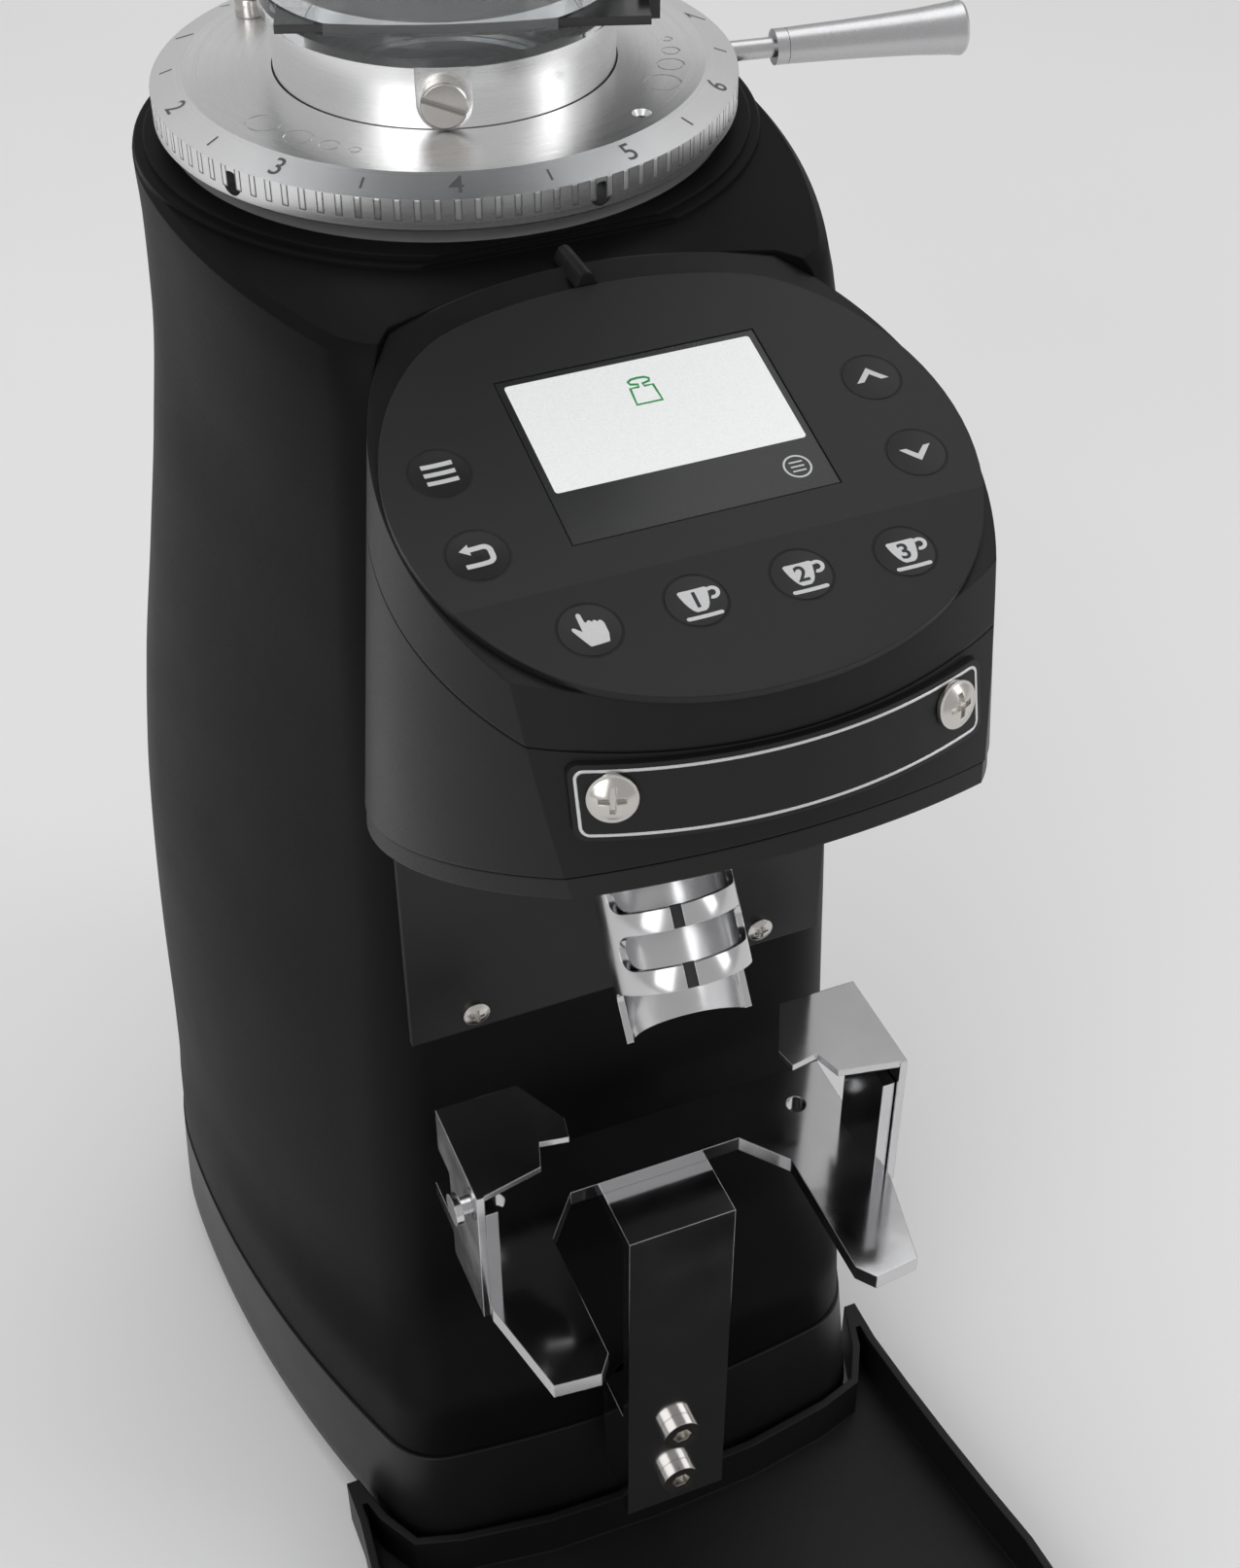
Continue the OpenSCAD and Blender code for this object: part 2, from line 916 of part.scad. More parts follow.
module hopper_lid() {
    color("#141414")
    rotate_extrude($fn = 96)
        polygon([
            [0, hopper_top + 0.3], [hopper_r + 1.5, hopper_top + 0.3], [hopper_r + 1.5, hopper_top + 3],
            [hopper_r - 3, hopper_top + 6], [14, hopper_top + 8], [12, hopper_top + 9],
            [12, hopper_top + 16], [10.5, hopper_top + 17.5], [0, hopper_top + 17.5]
        ]);
}

// ---------- Grind collar ----------

module collar() {
    color("#c4c4c6")
    difference() {
        translate([0, 0, collar_z])
            rotate_extrude($fn = 128)
                polygon([
                    [neck_r + 0.3, 2], [neck_r + 0.3, collar_h], [collar_top_r, collar_h],
                    [collar_r, band_h], [collar_r, 0.4], [collar_r - 0.4, 0], [46.2, 0], [46.2, -20],
                    [37.5, -20], [37.5, 2]
                ]);
        for (a = TAPPED_ANGLES)
            rotate([0, 0, a])
                translate([collar_r - 12, 0, lever_z])
                    rotate([0, 90, 0])
                        cylinder(h = 20, r = 2.3);
        // Countersunk hole on the top
        translate([24.7, -38.2, collar_z]) {
            translate([0, 0, collar_h - 6])
                cylinder(h = 7, r = 1.1);
            translate([0, 0, collar_h - 1])
                cylinder(h = 1.2, r1 = 1.1, r2 = 2);
        }
        // Engraved rings that show coarse and fine
        for (c = ENGRAVED)
            rotate([0, 0, c[0]])
                translate([43.3, 0, collar_z + collar_h - 0.25])
                    difference() {
                        cylinder(h = 1, r = c[1]);
                        translate([0, 0, -0.1])
                            cylinder(h = 1.2, r = c[1] - 0.4);
                    }
    }
}

// Engraved rings: [direction, radius]
ENGRAVED = [
    [-158.4, 3.5], [-146.5, 2.85], [-137.5, 2], [-130.7, 1.2],
    [-39.3, 3.65], [-28.1, 2.75], [-19.7, 1.85], [-12.2, 1.15]
];

module on_lever() {
    rotate([0, 0, lever_angle])
        translate([0, 0, lever_z])
            rotate([0, 90, 0])
                children();
}

module lever_rod() {
    color("#a8a8aa")
    on_lever() {
        rod(2, collar_r - 9, 66);
        rod(3.5, 66, 68.5);
    }
}

module lever_grip() {
    color("#9c9c9e")
    on_lever()
        rotate_extrude()
            polygon([
                [0, 68.6], [3.5, 68.6], [3.6, 72], [3.8, 80], [4.1, 88], [4.5, 96], [5.1, 103],
                [5.4, 105], [5.1, 105.6], [0, 105.6]
            ]);
}

// ---------- Motor ----------

module motor_shaft() {
    color("#9a9a9c")
    rotate_extrude()
        polygon([
            [0, 98], [shaft_r - 0.5, 98], [shaft_r, 98.5], [shaft_r, 276], [7, 276], [7, 293], [5, 294],
            [5, 300.5], [4.4, 301.1], [0, 301.1]
        ]);
}

module rotor_core() {
    color("#77777a")
    difference() {
        rod(rotor_r, 148, 207);
        rod(shaft_r, 140, 210);
        for (i = [0:15])
            rotate([0, 0, 22.5 * i])
                translate([rotor_r - 4, 0, 0])
                    rod(1.6, 140, 210);
    }
}

module stator_core() {
    slots = 18;
    color("#5a5a5e")
    difference() {
        ring(rotor_r + 0.5, stator_r, 150, 205);
        for (i = [0:slots - 1])
            rotate([0, 0, 360 / slots * i])
                translate([rotor_r + 2, -2, 149])
                    cube([12, 4, 58]);
    }
}

module stator_winding() {
    color("#b0662c")
    for (z = [133, 205])
        translate([0, 0, z])
            rotate_extrude()
                polygon([
                    [34, 0], [48, 0], [50, 2], [50, 14], [47, 17], [37, 17], [34, 14]
                ]);
}

// Two plates and four tie rods that hold the motor under the grinding chamber
module motor_frame() {
    color("#707074")
    difference() {
        union() {
            rod(58, 276.5, 281.9);
            rod(58, 108, 113);
            rod(20, 104, 118.5);
            for (a = [45:90:359])
                rotate([0, 0, a])
                    translate([55, 0, 0])
                        rod(2.5, 105, 282);
        }
        rod(20, 270, 283);
        rod(16, 108, 120);
        rod(10, 100, 110);
        on_spout()
            rod(16.3, 40, 95);
    }
}

module bearings() {
    color("#aaaaac")
    for (z = [108, 264])
        translate([0, 0, z])
            difference() {
                ring(shaft_r + 0.03, 16, 0, 10);
                for (face = [-0.1, 9])
                    ring(10.6, 13.4, face, face + 1.1);
            }
}

module cooling_fan() {
    color("#202022")
    difference() {
        union() {
            rod(13, 121, 130);
            rod(44, 129, 130.5);
            for (i = [0:9])
                rotate([0, 0, 36 * i])
                    translate([12, -0.8, 121])
                        cube([32, 1.6, 9]);
        }
        rod(shaft_r, 120, 131);
    }
}

module lower_burr_carrier() {
    top = burr_mid - burr_gap / 2 - burr_t;
    color("#a08040")
    difference() {
        union() {
            rod(32.4, 288, top);
            rod(13, 286.4, 288.1);
            for (i = [0:2])
                rotate([0, 0, 120 * i + 60])
                    translate([24, -2, 288])
                        cube([9.4, 4, top - 288]);
        }
        rod(7, 280, 300);
        for (a = BURR_SCREW_ANGLES)
            rotate([0, 0, a])
                translate([25.5, 0, 0])
                    rod(2.15, top - 5, top + 1);
    }
}

module burr_nut() {
    top = burr_mid - burr_gap / 2 - burr_t;
    color("#8a8a8c")
    difference() {
        union() {
            rod(11, top, top + 1.5);
            translate([0, 0, top + 1.5])
                cylinder(h = 4, r = 8.1, $fn = 6);
        }
        rod(5, top - 1, top + 8);
    }
}

// ---------- Electric parts ----------

module run_capacitor() {
    color("#d8d8d0")
    translate([-38, 34, 0])
        rotate_extrude()
            polygon([
                [0, 24], [14, 24], [15, 25], [15, 84], [14, 85], [6, 85], [6, 88], [0, 88]
            ]);
}

module control_board() {
    color("#1c5a30") {
        translate([-38, -71, 96])
            cube([76, 1.6, 104]);
        translate([-30, -70, 104])
            cube([26, 12, 22]);
        translate([6, -70, 106])
            cube([16, 8, 16]);
        for (z = [140, 160, 180])
            translate([-26, -70, z])
                cube([20, 7, 10]);
        for (x = [8, 20])
            translate([x, -69.5, 150])
                rotate([-90, 0, 0])
                    cylinder(h = 13, r = 5);
        for (x = [-34, 34], z = [100, 196])
            translate([x, -70.5, z])
                rotate([90, 0, 0])
                    cylinder(h = 9.8, r = 2.5);
    }
}

// Bending beam under the fork with the block it is bolted to
module load_cell() {
    color("#b8bcc0") {
        difference() {
            translate([-6.35, -90, stem_z - 6.35])
                cube([12.7, 80, 12.7]);
            for (y = [-56, -44])
                translate([-10, y, stem_z])
                    rotate([0, 90, 0])
                        cylinder(h = 20, r = 4.4);
            translate([-10, -56, stem_z - 2])
                cube([20, 12, 4]);
        }
        translate([-12, -34, 11])
            cube([24, 22, stem_z - 6.35 - 11]);
    }
}

// ---------- Fork ----------

// Upright with the block and the stem that pass its load to the load cell
module fork_bracket() {
    color("#9a9a9c") {
        difference() {
            union() {
                translate([-12.5, -123, 30])
                    cube([25, 3.5, 106]);
                translate([-12.5, -123, 132])
                    cube([25, 30, 4]);
                translate([-12.5, -119.6, 34])
                    cube([25, 12, 33]);
                translate([0, -108, stem_z])
                    rotate([-90, 0, 0])
                        cylinder(h = 18, r = stem_r);
            }
            for (z = [42, 61])
                translate([0, -100, z])
                    rotate([90, 0, 0])
                        cylinder(h = 40, r = 2.6);
        }
    }
}

module fork_bolts() {
    color("silver")
    for (z = [42, 61])
        translate([0, -123, z])
            rotate([90, 0, 0])
                difference() {
                    union() {
                        cylinder(h = 3, r = 4.6);
                        translate([0, 0, -14])
                            cylinder(h = 14.1, r = 2.55);
                    }
                    translate([0, 0, 1])
                        cylinder(h = 3, r = 2.3, $fn = 6);
                }
}

// Forked plate that the filter holder rests on, with an ear and a hinge pin for each clip
module fork() {
    color("#141414") {
        difference() {
            translate([0, 0, fork_z - 4])
                linear_extrude(4)
                    polygon([
                        [-46, -94], [46, -94], [46, -130], [41, -152], [fork_gap + 3, -153],
                        [fork_gap, -149], [fork_gap, -118], [fork_gap - 8, -108], [-fork_gap + 8, -108],
                        [-fork_gap, -118], [-fork_gap, -149], [-fork_gap - 3, -153], [-41, -152], [-46, -130]
                    ]);
            for (x = [-1, 1])
                translate([x * 36, -104, 0])
                    rod(2.2, fork_z - 6, fork_z + 2);
        }
        for (s = [-1, 1]) {
            translate([s > 0 ? 43 : -45.7, -128, fork_z - 0.5])
                cube([2.7, 16, clip_z - 6.5 - fork_z]);
            translate([s * 43.5, -121, clip_z - 11])
                rotate([0, s * 90, 0]) {
                    cylinder(h = 5.6, r = 2);
                    translate([0, 0, 5.4])
                        cylinder(h = 1.6, r = 3.4);
                }
        }
    }
}

// Sprung hook over one side of the filter holder
module clip(s) {
    wall_x = s > 0 ? 46 : -47.6;
    color("#181818")
    difference() {
        union() {
            translate([wall_x, -129, fork_z - 3])
                cube([1.6, 18, clip_z - fork_z + 3]);
            translate([0, 0, clip_z - 1.6])
                linear_extrude(1.6)
                    polygon([
                        [s * 47.6, -104], [s * 47.6, -129], [s * 33, -126], [s * 31, -120], [s * 25, -121],
                        [s * 24, -116], [s * 30, -104]
                    ]);
            translate([wall_x, -112, clip_z - 12])
                cube([1.6, 8, 12]);
        }
        translate([s * 40, -121, clip_z - 11])
            rotate([0, s * 90, 0])
                cylinder(h = 20, r = 2.06);
    }
}

module clip_left() {
    clip(-1);
}

module clip_right() {
    clip(1);
}

// ---------- Tray ----------

// Right half of the tray's outline inset by g, from the rear centre round to the front centre
function tray_half(g) =
    concat(
        [
            [0, -109 - g], [28, -108 - g], [50, -104.6 - g], [60.4 + 0.6 * g, -101.5 - 0.8 * g],
            [65.4 + 0.95 * g, -92.5 - 0.3 * g], [69 - 0.05 * g, -80.4 - 3.5 * g], [72.2 - g, -80.4 - 3.5 * g]
        ],
        [for (i = [0:4]) bend(i / 4, [72.2 - g, -92], [75 - g, -125], [81 - g, -160])],
        [for (i = [1:10]) bend(i / 10, [81.5 - g, -166], [87 - g, g - tray_front + 4], [40, g - tray_front + 1])],
        [[18, 1.01 * g - tray_front + 0.2], [0, g - tray_front]]
    );

function tray_outline(g) =
    let (h = tray_half(g), m = len(h))
    concat(h, [for (i = [m - 2:-1:1]) [-h[i][0], h[i][1]]]);

module tray() {
    color("#121213")
    difference() {
        translate([0, 0, 0.6])
            linear_extrude(tray_h - 0.6)
                polygon(tray_outline(0));
        translate([0, 0, 3])
            linear_extrude(tray_h)
                polygon(tray_outline(2));
    }
}

// ---------- Buttons ----------

module button(i) {
    color("#232324")
    at_button(i)
        difference() {
            union() {
                rod(button_r, button_travel - 5, 0.05);
                rod(button_r + 1.2, button_travel - 5, -3.1);
            }
            translate([0, 0, 39.7])
                sphere(r = 40);
        }
}

module button_menu() {
    button(0);
}

module button_back() {
    button(1);
}

module button_up() {
    button(2);
}

module button_down() {
    button(3);
}

module button_manual() {
    button(4);
}

module button_dose_1() {
    button(5);
}

module button_dose_2() {
    button(6);
}

module button_dose_3() {
    button(7);
}

base_plinth();
base_plate();
rubber_feet();
body_casting();
service_panel();
mains_inlet();
power_switch();
power_rocker();
head_housing();
head_cover();
head_bottom();
fascia_panel();
display_module();
display_board();
nameplate();
nameplate_screws();
column_plate();
column_plate_screws();
spout();
exit_duct();
grinding_chamber();
carrier_springs();
stator_core();
stator_winding();
motor_frame();
bearings();
run_capacitor();
control_board();
load_cell();
fork_bracket();
fork_bolts();
fork();
tray();
upper_burr_carrier();
upper_burr();
neck_screws();
shutter_frame();
hopper();
hopper_lid();
shutter();
collar();
lever_rod();
lever_grip();
motor_shaft();
rotor_core();
lower_burr_carrier();
lower_burr();
burr_screws();
burr_nut();
cooling_fan();
button_menu();
button_back();
button_up();
button_down();
button_manual();
button_dose_1();
button_dose_2();
button_dose_3();
clip_left();
clip_right();
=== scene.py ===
import json
import math

import bmesh
import bpy
from mathutils import Matrix, Vector


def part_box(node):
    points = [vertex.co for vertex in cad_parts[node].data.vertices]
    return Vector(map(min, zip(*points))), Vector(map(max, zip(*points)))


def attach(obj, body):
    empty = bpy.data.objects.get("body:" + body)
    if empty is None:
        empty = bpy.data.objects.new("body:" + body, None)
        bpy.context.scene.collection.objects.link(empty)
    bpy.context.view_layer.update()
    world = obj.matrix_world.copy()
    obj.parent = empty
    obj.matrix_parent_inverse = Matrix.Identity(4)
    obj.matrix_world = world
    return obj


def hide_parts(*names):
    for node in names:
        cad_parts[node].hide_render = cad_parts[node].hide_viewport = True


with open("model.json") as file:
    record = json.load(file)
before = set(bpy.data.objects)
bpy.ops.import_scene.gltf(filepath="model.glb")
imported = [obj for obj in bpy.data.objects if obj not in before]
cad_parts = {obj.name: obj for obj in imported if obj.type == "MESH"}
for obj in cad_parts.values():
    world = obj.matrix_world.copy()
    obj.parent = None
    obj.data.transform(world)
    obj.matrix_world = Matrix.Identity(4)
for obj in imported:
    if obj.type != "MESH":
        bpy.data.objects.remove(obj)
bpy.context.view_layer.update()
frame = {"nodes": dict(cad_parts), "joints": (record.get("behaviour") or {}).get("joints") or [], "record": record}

MM = 0.001
nodes = frame["nodes"]
joints = {j["name"]: j for j in frame["joints"]}

# ---------- Values from the frame ----------

collar_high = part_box("collar")[1]
COLLAR_R = collar_high.x
COLLAR_TOP = collar_high.z
COLLAR_TOP_R = COLLAR_R - 6.25 * MM
BAND_TOP = COLLAR_TOP - 2.2 * MM
press = Vector(joints["press_menu"]["axis"]).normalized()
PANEL_N = -press
PANEL_UP = Vector((0, PANEL_N.z, -PANEL_N.y))
PANEL_O = Vector((0, -115, 324)) * MM
NUMBER_4 = math.radians(-107)
FILM_LINE_Y = -132.3


def panel_point(x, y):
    """Point on the sloping panel from its plan position in mm."""
    v = (y * MM - PANEL_O.y) / PANEL_UP.y
    return PANEL_O + Vector((x * MM, 0, 0)) + PANEL_UP * v


# ---------- Materials ----------

def new_material(name):
    mat = bpy.data.materials.new(name)
    mat.use_nodes = True
    tree = mat.node_tree
    return mat, tree, tree.nodes["Principled BSDF"]


def coords(tree, scale=(1, 1, 1)):
    tex = tree.nodes.new("ShaderNodeTexCoord")
    mapping = tree.nodes.new("ShaderNodeMapping")
    mapping.inputs["Scale"].default_value = scale
    tree.links.new(tex.outputs["Object"], mapping.inputs["Vector"])
    return mapping.outputs["Vector"]


def noise(tree, vector, scale, detail=3, rough=0.6):
    n = tree.nodes.new("ShaderNodeTexNoise")
    n.inputs["Scale"].default_value = scale
    n.inputs["Detail"].default_value = detail
    n.inputs["Roughness"].default_value = rough
    tree.links.new(vector, n.inputs["Vector"])
    return n.outputs["Fac"]


def ramp(tree, fac, stops):
    r = tree.nodes.new("ShaderNodeValToRGB")
    els = r.color_ramp.elements
    while len(els) < len(stops):
        els.new(0.5)
    for e, (pos, col) in zip(els, stops):
        e.position = pos
        e.color = (col, col, col, 1) if isinstance(col, (int, float)) else (*col, 1)
    tree.links.new(fac, r.inputs["Fac"])
    return r.outputs["Color"]


def map_range(tree, value, a, b, c, d):
    m = tree.nodes.new("ShaderNodeMapRange")
    for i, v in enumerate((a, b, c, d)):
        m.inputs[i + 1].default_value = v
    tree.links.new(value, m.inputs[0])
    return m.outputs[0]


def math_node(tree, op, a, b):
    m = tree.nodes.new("ShaderNodeMath")
    m.operation = op
    for i, v in enumerate((a, b)):
        if isinstance(v, (int, float)):
            m.inputs[i].default_value = v
        else:
            tree.links.new(v, m.inputs[i])
    return m.outputs[0]


def bump(tree, bsdf, height, distance, strength=1.0, edge=0.0):
    b = tree.nodes.new("ShaderNodeBump")
    b.inputs["Strength"].default_value = strength
    b.inputs["Distance"].default_value = distance
    tree.links.new(height, b.inputs["Height"])
    if edge:
        rounded = tree.nodes.new("ShaderNodeBevel")
        rounded.samples = 4
        rounded.inputs["Radius"].default_value = edge
        tree.links.new(rounded.outputs["Normal"], b.inputs["Normal"])
    tree.links.new(b.outputs["Normal"], bsdf.inputs["Normal"])


def coated(name, base, rough, grain=2200, depth=0.00002, edge=0.0006, spec=0.5, coat=0.0):
    """Powder coat or moulded plastic: fine grain, slight cloudiness, rounded edges."""
    mat, tree, bsdf = new_material(name)
    vec = coords(tree)
    cloud = noise(tree, vec, 22, 4)
    lo = [c * 0.82 for c in base]
    hi = [c * 1.18 for c in base]
    tree.links.new(ramp(tree, cloud, [(0.3, lo), (0.7, hi)]), bsdf.inputs["Base Color"])
    fine = noise(tree, vec, grain, 2)
    rmix = math_node(tree, "ADD", map_range(tree, cloud, 0.3, 0.7, rough - 0.04, rough + 0.03),
                     map_range(tree, fine, 0.3, 0.7, -0.03, 0.03))
    tree.links.new(rmix, bsdf.inputs["Roughness"])
    bsdf.inputs["Specular IOR Level"].default_value = spec
    bsdf.inputs["Coat Weight"].default_value = coat
    bsdf.inputs["Coat Roughness"].default_value = 0.2
    bump(tree, bsdf, fine, depth, 1.0, edge)
    return mat


def turned(name, base, rough, aniso, lines=9000, depth=0.000004, axis=None):
    """Metal with brush lines along an axis, or without one with lathe rings round the Z axis."""
    mat, tree, bsdf = new_material(name)
    tex = tree.nodes.new("ShaderNodeTexCoord")
    if axis is None:
        flat = tree.nodes.new("ShaderNodeVectorMath")
        flat.operation = "MULTIPLY"
        flat.inputs[1].default_value = (1, 1, 0)
        tree.links.new(tex.outputs["Object"], flat.inputs[0])
        length = tree.nodes.new("ShaderNodeVectorMath")
        length.operation = "LENGTH"
        tree.links.new(flat.outputs[0], length.inputs[0])
        sep = tree.nodes.new("ShaderNodeSeparateXYZ")
        tree.links.new(tex.outputs["Object"], sep.inputs[0])
        comb = tree.nodes.new("ShaderNodeCombineXYZ")
        tree.links.new(length.outputs["Value"], comb.inputs[0])
        tree.links.new(sep.outputs[2], comb.inputs[1])
        vec = comb.outputs[0]
    else:
        m = tree.nodes.new("ShaderNodeMapping")
        k = {"X": (0.01, 1, 1), "Y": (1, 0.01, 1), "Z": (1, 1, 0.01)}[axis]
        m.inputs["Scale"].default_value = k
        tree.links.new(tex.outputs["Object"], m.inputs["Vector"])
        vec = m.outputs["Vector"]
    fine = noise(tree, vec, lines, 2, 0.7)
    cloud = noise(tree, coords(tree), 35, 4)
    lo = [c * 0.94 for c in base]
    hi = [min(1, c * 1.03) for c in base]
    both = math_node(tree, "ADD", math_node(tree, "MULTIPLY", fine, 0.6),
                     math_node(tree, "MULTIPLY", cloud, 0.4))
    tree.links.new(ramp(tree, both, [(0.35, lo), (0.65, hi)]), bsdf.inputs["Base Color"])
    tree.links.new(map_range(tree, fine, 0.3, 0.7, rough * 0.8, rough * 1.25), bsdf.inputs["Roughness"])
    bsdf.inputs["Metallic"].default_value = 1.0
    bsdf.inputs["Anisotropic"].default_value = aniso
    if aniso:
        tan = tree.nodes.new("ShaderNodeTangent")
        tan.direction_type = "RADIAL"
        tan.axis = axis or "Z"
        tree.links.new(tan.outputs[0], bsdf.inputs["Tangent"])
    bump(tree, bsdf, fine, depth)
    return mat


def polished(name, base, rough):
    """Bright metal with faint ripples and smears."""
    mat, tree, bsdf = new_material(name)
    vec = coords(tree)
    cloud = noise(tree, vec, 60, 3)
    smear = [c * 0.93 for c in base]
    tree.links.new(ramp(tree, cloud, [(0.3, smear), (0.7, base)]), bsdf.inputs["Base Color"])
    tree.links.new(map_range(tree, cloud, 0.3, 0.7, rough * 0.7, rough * 1.4), bsdf.inputs["Roughness"])
    bsdf.inputs["Metallic"].default_value = 1.0
    bump(tree, bsdf, cloud, 0.00003, 0.5, 0.0003)
    return mat


def clear_plastic(name, tint, rough):
    mat, tree, bsdf = new_material(name)
    vec = coords(tree)
    cloud = noise(tree, vec, 40, 3)
    deeper = [c * 0.97 for c in tint]
    tree.links.new(ramp(tree, cloud, [(0.3, deeper), (0.7, tint)]), bsdf.inputs["Base Color"])
    tree.links.new(map_range(tree, cloud, 0.3, 0.7, rough * 0.6, rough * 1.6), bsdf.inputs["Roughness"])
    bsdf.inputs["Transmission Weight"].default_value = 0.95
    bsdf.inputs["IOR"].default_value = 1.3
    return mat


def printed(name, base, rough=0.5, glow=0.0):
    """Ink, painted shade, or with glow a lit part of the screen, with a fine dot pattern."""
    mat, tree, bsdf = new_material(name)
    vec = coords(tree)
    fine = noise(tree, vec, 3500, 2)
    col = ramp(tree, fine, [(0.35, [c * 0.9 for c in base]), (0.65, base)])
    tree.links.new(col, bsdf.inputs["Base Color"])
    tree.links.new(map_range(tree, fine, 0.3, 0.7, rough - 0.05, rough + 0.05), bsdf.inputs["Roughness"])
    if glow:
        tree.links.new(col, bsdf.inputs["Emission Color"])
        bsdf.inputs["Emission Strength"].default_value = glow
    return mat


def fascia_material():
    """Charcoal film: the part behind the printed line is a tone lighter than the front strip."""
    mat, tree, bsdf = new_material("fascia_film")
    tex = tree.nodes.new("ShaderNodeTexCoord")
    sep = tree.nodes.new("ShaderNodeSeparateXYZ")
    tree.links.new(tex.outputs["Object"], sep.inputs[0])
    behind = math_node(tree, "GREATER_THAN", sep.outputs[1], FILM_LINE_Y * MM)
    tree.links.new(ramp(tree, behind, [(0.0, (0.0085, 0.0085, 0.009)), (1.0, (0.015, 0.015, 0.0155))]),
                   bsdf.inputs["Base Color"])
    fine = noise(tree, coords(tree), 4200, 2)
    tree.links.new(map_range(tree, fine, 0.3, 0.7, 0.42, 0.52), bsdf.inputs["Roughness"])
    bsdf.inputs["Specular IOR Level"].default_value = 0.3
    bump(tree, bsdf, fine, 0.000008, 1.0, 0.0004)
    return mat


BLACK = (0.0062, 0.0062, 0.0065)
MATERIALS = {
    "body_paint": coated("powder_coat", BLACK, 0.42, spec=0.22),
    "plinth_paint": coated("plinth_coat", BLACK, 0.42, spec=0.35),
    "black_plastic": coated("black_plastic", (0.006, 0.006, 0.0062), 0.5, 1500, 0.00003, spec=0.3),
    "panel_plastic": fascia_material(),
    "button_plastic": coated("button_rubber", (0.010, 0.010, 0.0105), 0.4, 3000, 0.00001,
                             edge=0.0003, spec=0.3),
    "screen": coated("screen_glass", (0.022, 0.0225, 0.0232), 0.25, 3000, 0.000004, edge=0.0002, spec=0.3),
    "badge_plate": coated("badge_coat", (0.006, 0.006, 0.0062), 0.4, 2600, 0.00001, edge=0.0003, spec=0.3),
    "chrome": polished("chrome", (0.82, 0.82, 0.83), 0.05),
    "collar_aluminium": turned("turned_aluminium", (0.86, 0.86, 0.865), 0.32, 0.5),
    "neck_aluminium": turned("neck_aluminium", (0.90, 0.90, 0.90), 0.24, 0.5),
    "cast_aluminium": coated("cast_aluminium", (0.34, 0.34, 0.35), 0.5, 900, 0.00008),
    "steel": turned("brushed_steel", (0.55, 0.55, 0.56), 0.3, 0.5, axis="X"),
    "screw_steel": polished("zinc_plate", (0.62, 0.6, 0.57), 0.2),
    "black_steel": coated("coated_sheet", (0.007, 0.007, 0.0072), 0.38, 2600, 0.00001,
                          edge=0.0004, spec=0.35),
    "burr_steel": turned("ground_steel", (0.5, 0.5, 0.52), 0.28, 0.4),
    "iron_stack": turned("stacked_iron", (0.2, 0.2, 0.22), 0.5, 0.0, 4000, 0.00002, axis="X"),
    "copper_winding": turned("varnished_copper", (0.7, 0.3, 0.12), 0.3, 0.0, 3000, 0.0001),
    "brass_part": polished("cast_brass", (0.72, 0.52, 0.24), 0.25),
    "clear_plastic": clear_plastic("clear_plastic", (0.93, 0.95, 0.96), 0.03),
    "smoke_lid": coated("lid_gloss", (0.02, 0.02, 0.02), 0.15, 1800, 0.000004, coat=0.5),
    "shutter_plastic": coated("shutter_gloss", (0.012, 0.012, 0.012), 0.18, 1800, 0.000006, coat=0.4),
    "rubber": coated("foot_rubber", (0.012, 0.012, 0.012), 0.75, 1200, 0.00004),
    "circuit_board": coated("circuit_board", (0.03, 0.14, 0.06), 0.35, 700, 0.00002),
    "capacitor_can": coated("capacitor_sleeve", (0.62, 0.62, 0.58), 0.4),
    "red_rocker": coated("rocker_red", (0.42, 0.02, 0.02), 0.25, coat=0.3),
    "load_cell_metal": turned("milled_aluminium", (0.62, 0.63, 0.65), 0.3, 0.3, axis="X"),
}
for sub in frame["record"]["subparts"]:
    obj = nodes[sub["node"]]
    for s in obj.material_slots:
        s.material = MATERIALS[sub["material_slot"]]

bright_steel = polished("bright_steel", (0.66, 0.66, 0.67), 0.12)
for name in ("fork", "clip_left", "clip_right", "fork_bracket"):
    for s in nodes[name].material_slots:
        s.material = bright_steel

INK = printed("icon_ink", (0.62, 0.62, 0.63))
ENGRAVE = printed("engraved_mark", (0.12, 0.12, 0.122), 0.5)
# Dark ink for the dose numbers, also used as painted shade for the strips in the spout's split
DARK = printed("dark_ink_and_painted_shade", (0.02, 0.02, 0.021), 0.6)
PAGE = printed("screen_page", (0.80, 0.81, 0.81), 0.4, 0.22)
GREEN = printed("screen_green", (0.015, 0.30, 0.075), 0.5, 0.05)
GREY_LIGHT = printed("screen_grey", (0.55, 0.56, 0.57), 0.4, 0.1)
BRIGHT_LINE = polished("bright_edge", (0.7, 0.7, 0.71), 0.18)


# ---------- Mesh helpers ----------

def solid(name, data):
    """Object from (verts, faces), with its faces turned outwards."""
    me = bpy.data.meshes.new(name)
    me.from_pydata([tuple(v) for v in data[0]], [], data[1])
    me.validate()
    bm = bmesh.new()
    bm.from_mesh(me)
    bmesh.ops.recalc_face_normals(bm, faces=bm.faces)
    bm.to_mesh(me)
    bm.free()
    obj = bpy.data.objects.new(name, me)
    bpy.context.scene.collection.objects.link(obj)
    return obj


def add_mesh(name, data, mat, body, smooth=False):
    """Piece from (verts, faces) that rides on a body and has the given material."""
    obj = solid(name, data)
    obj.data.materials.append(mat)
    for p in obj.data.polygons:
        p.use_smooth = smooth
    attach(obj, body)


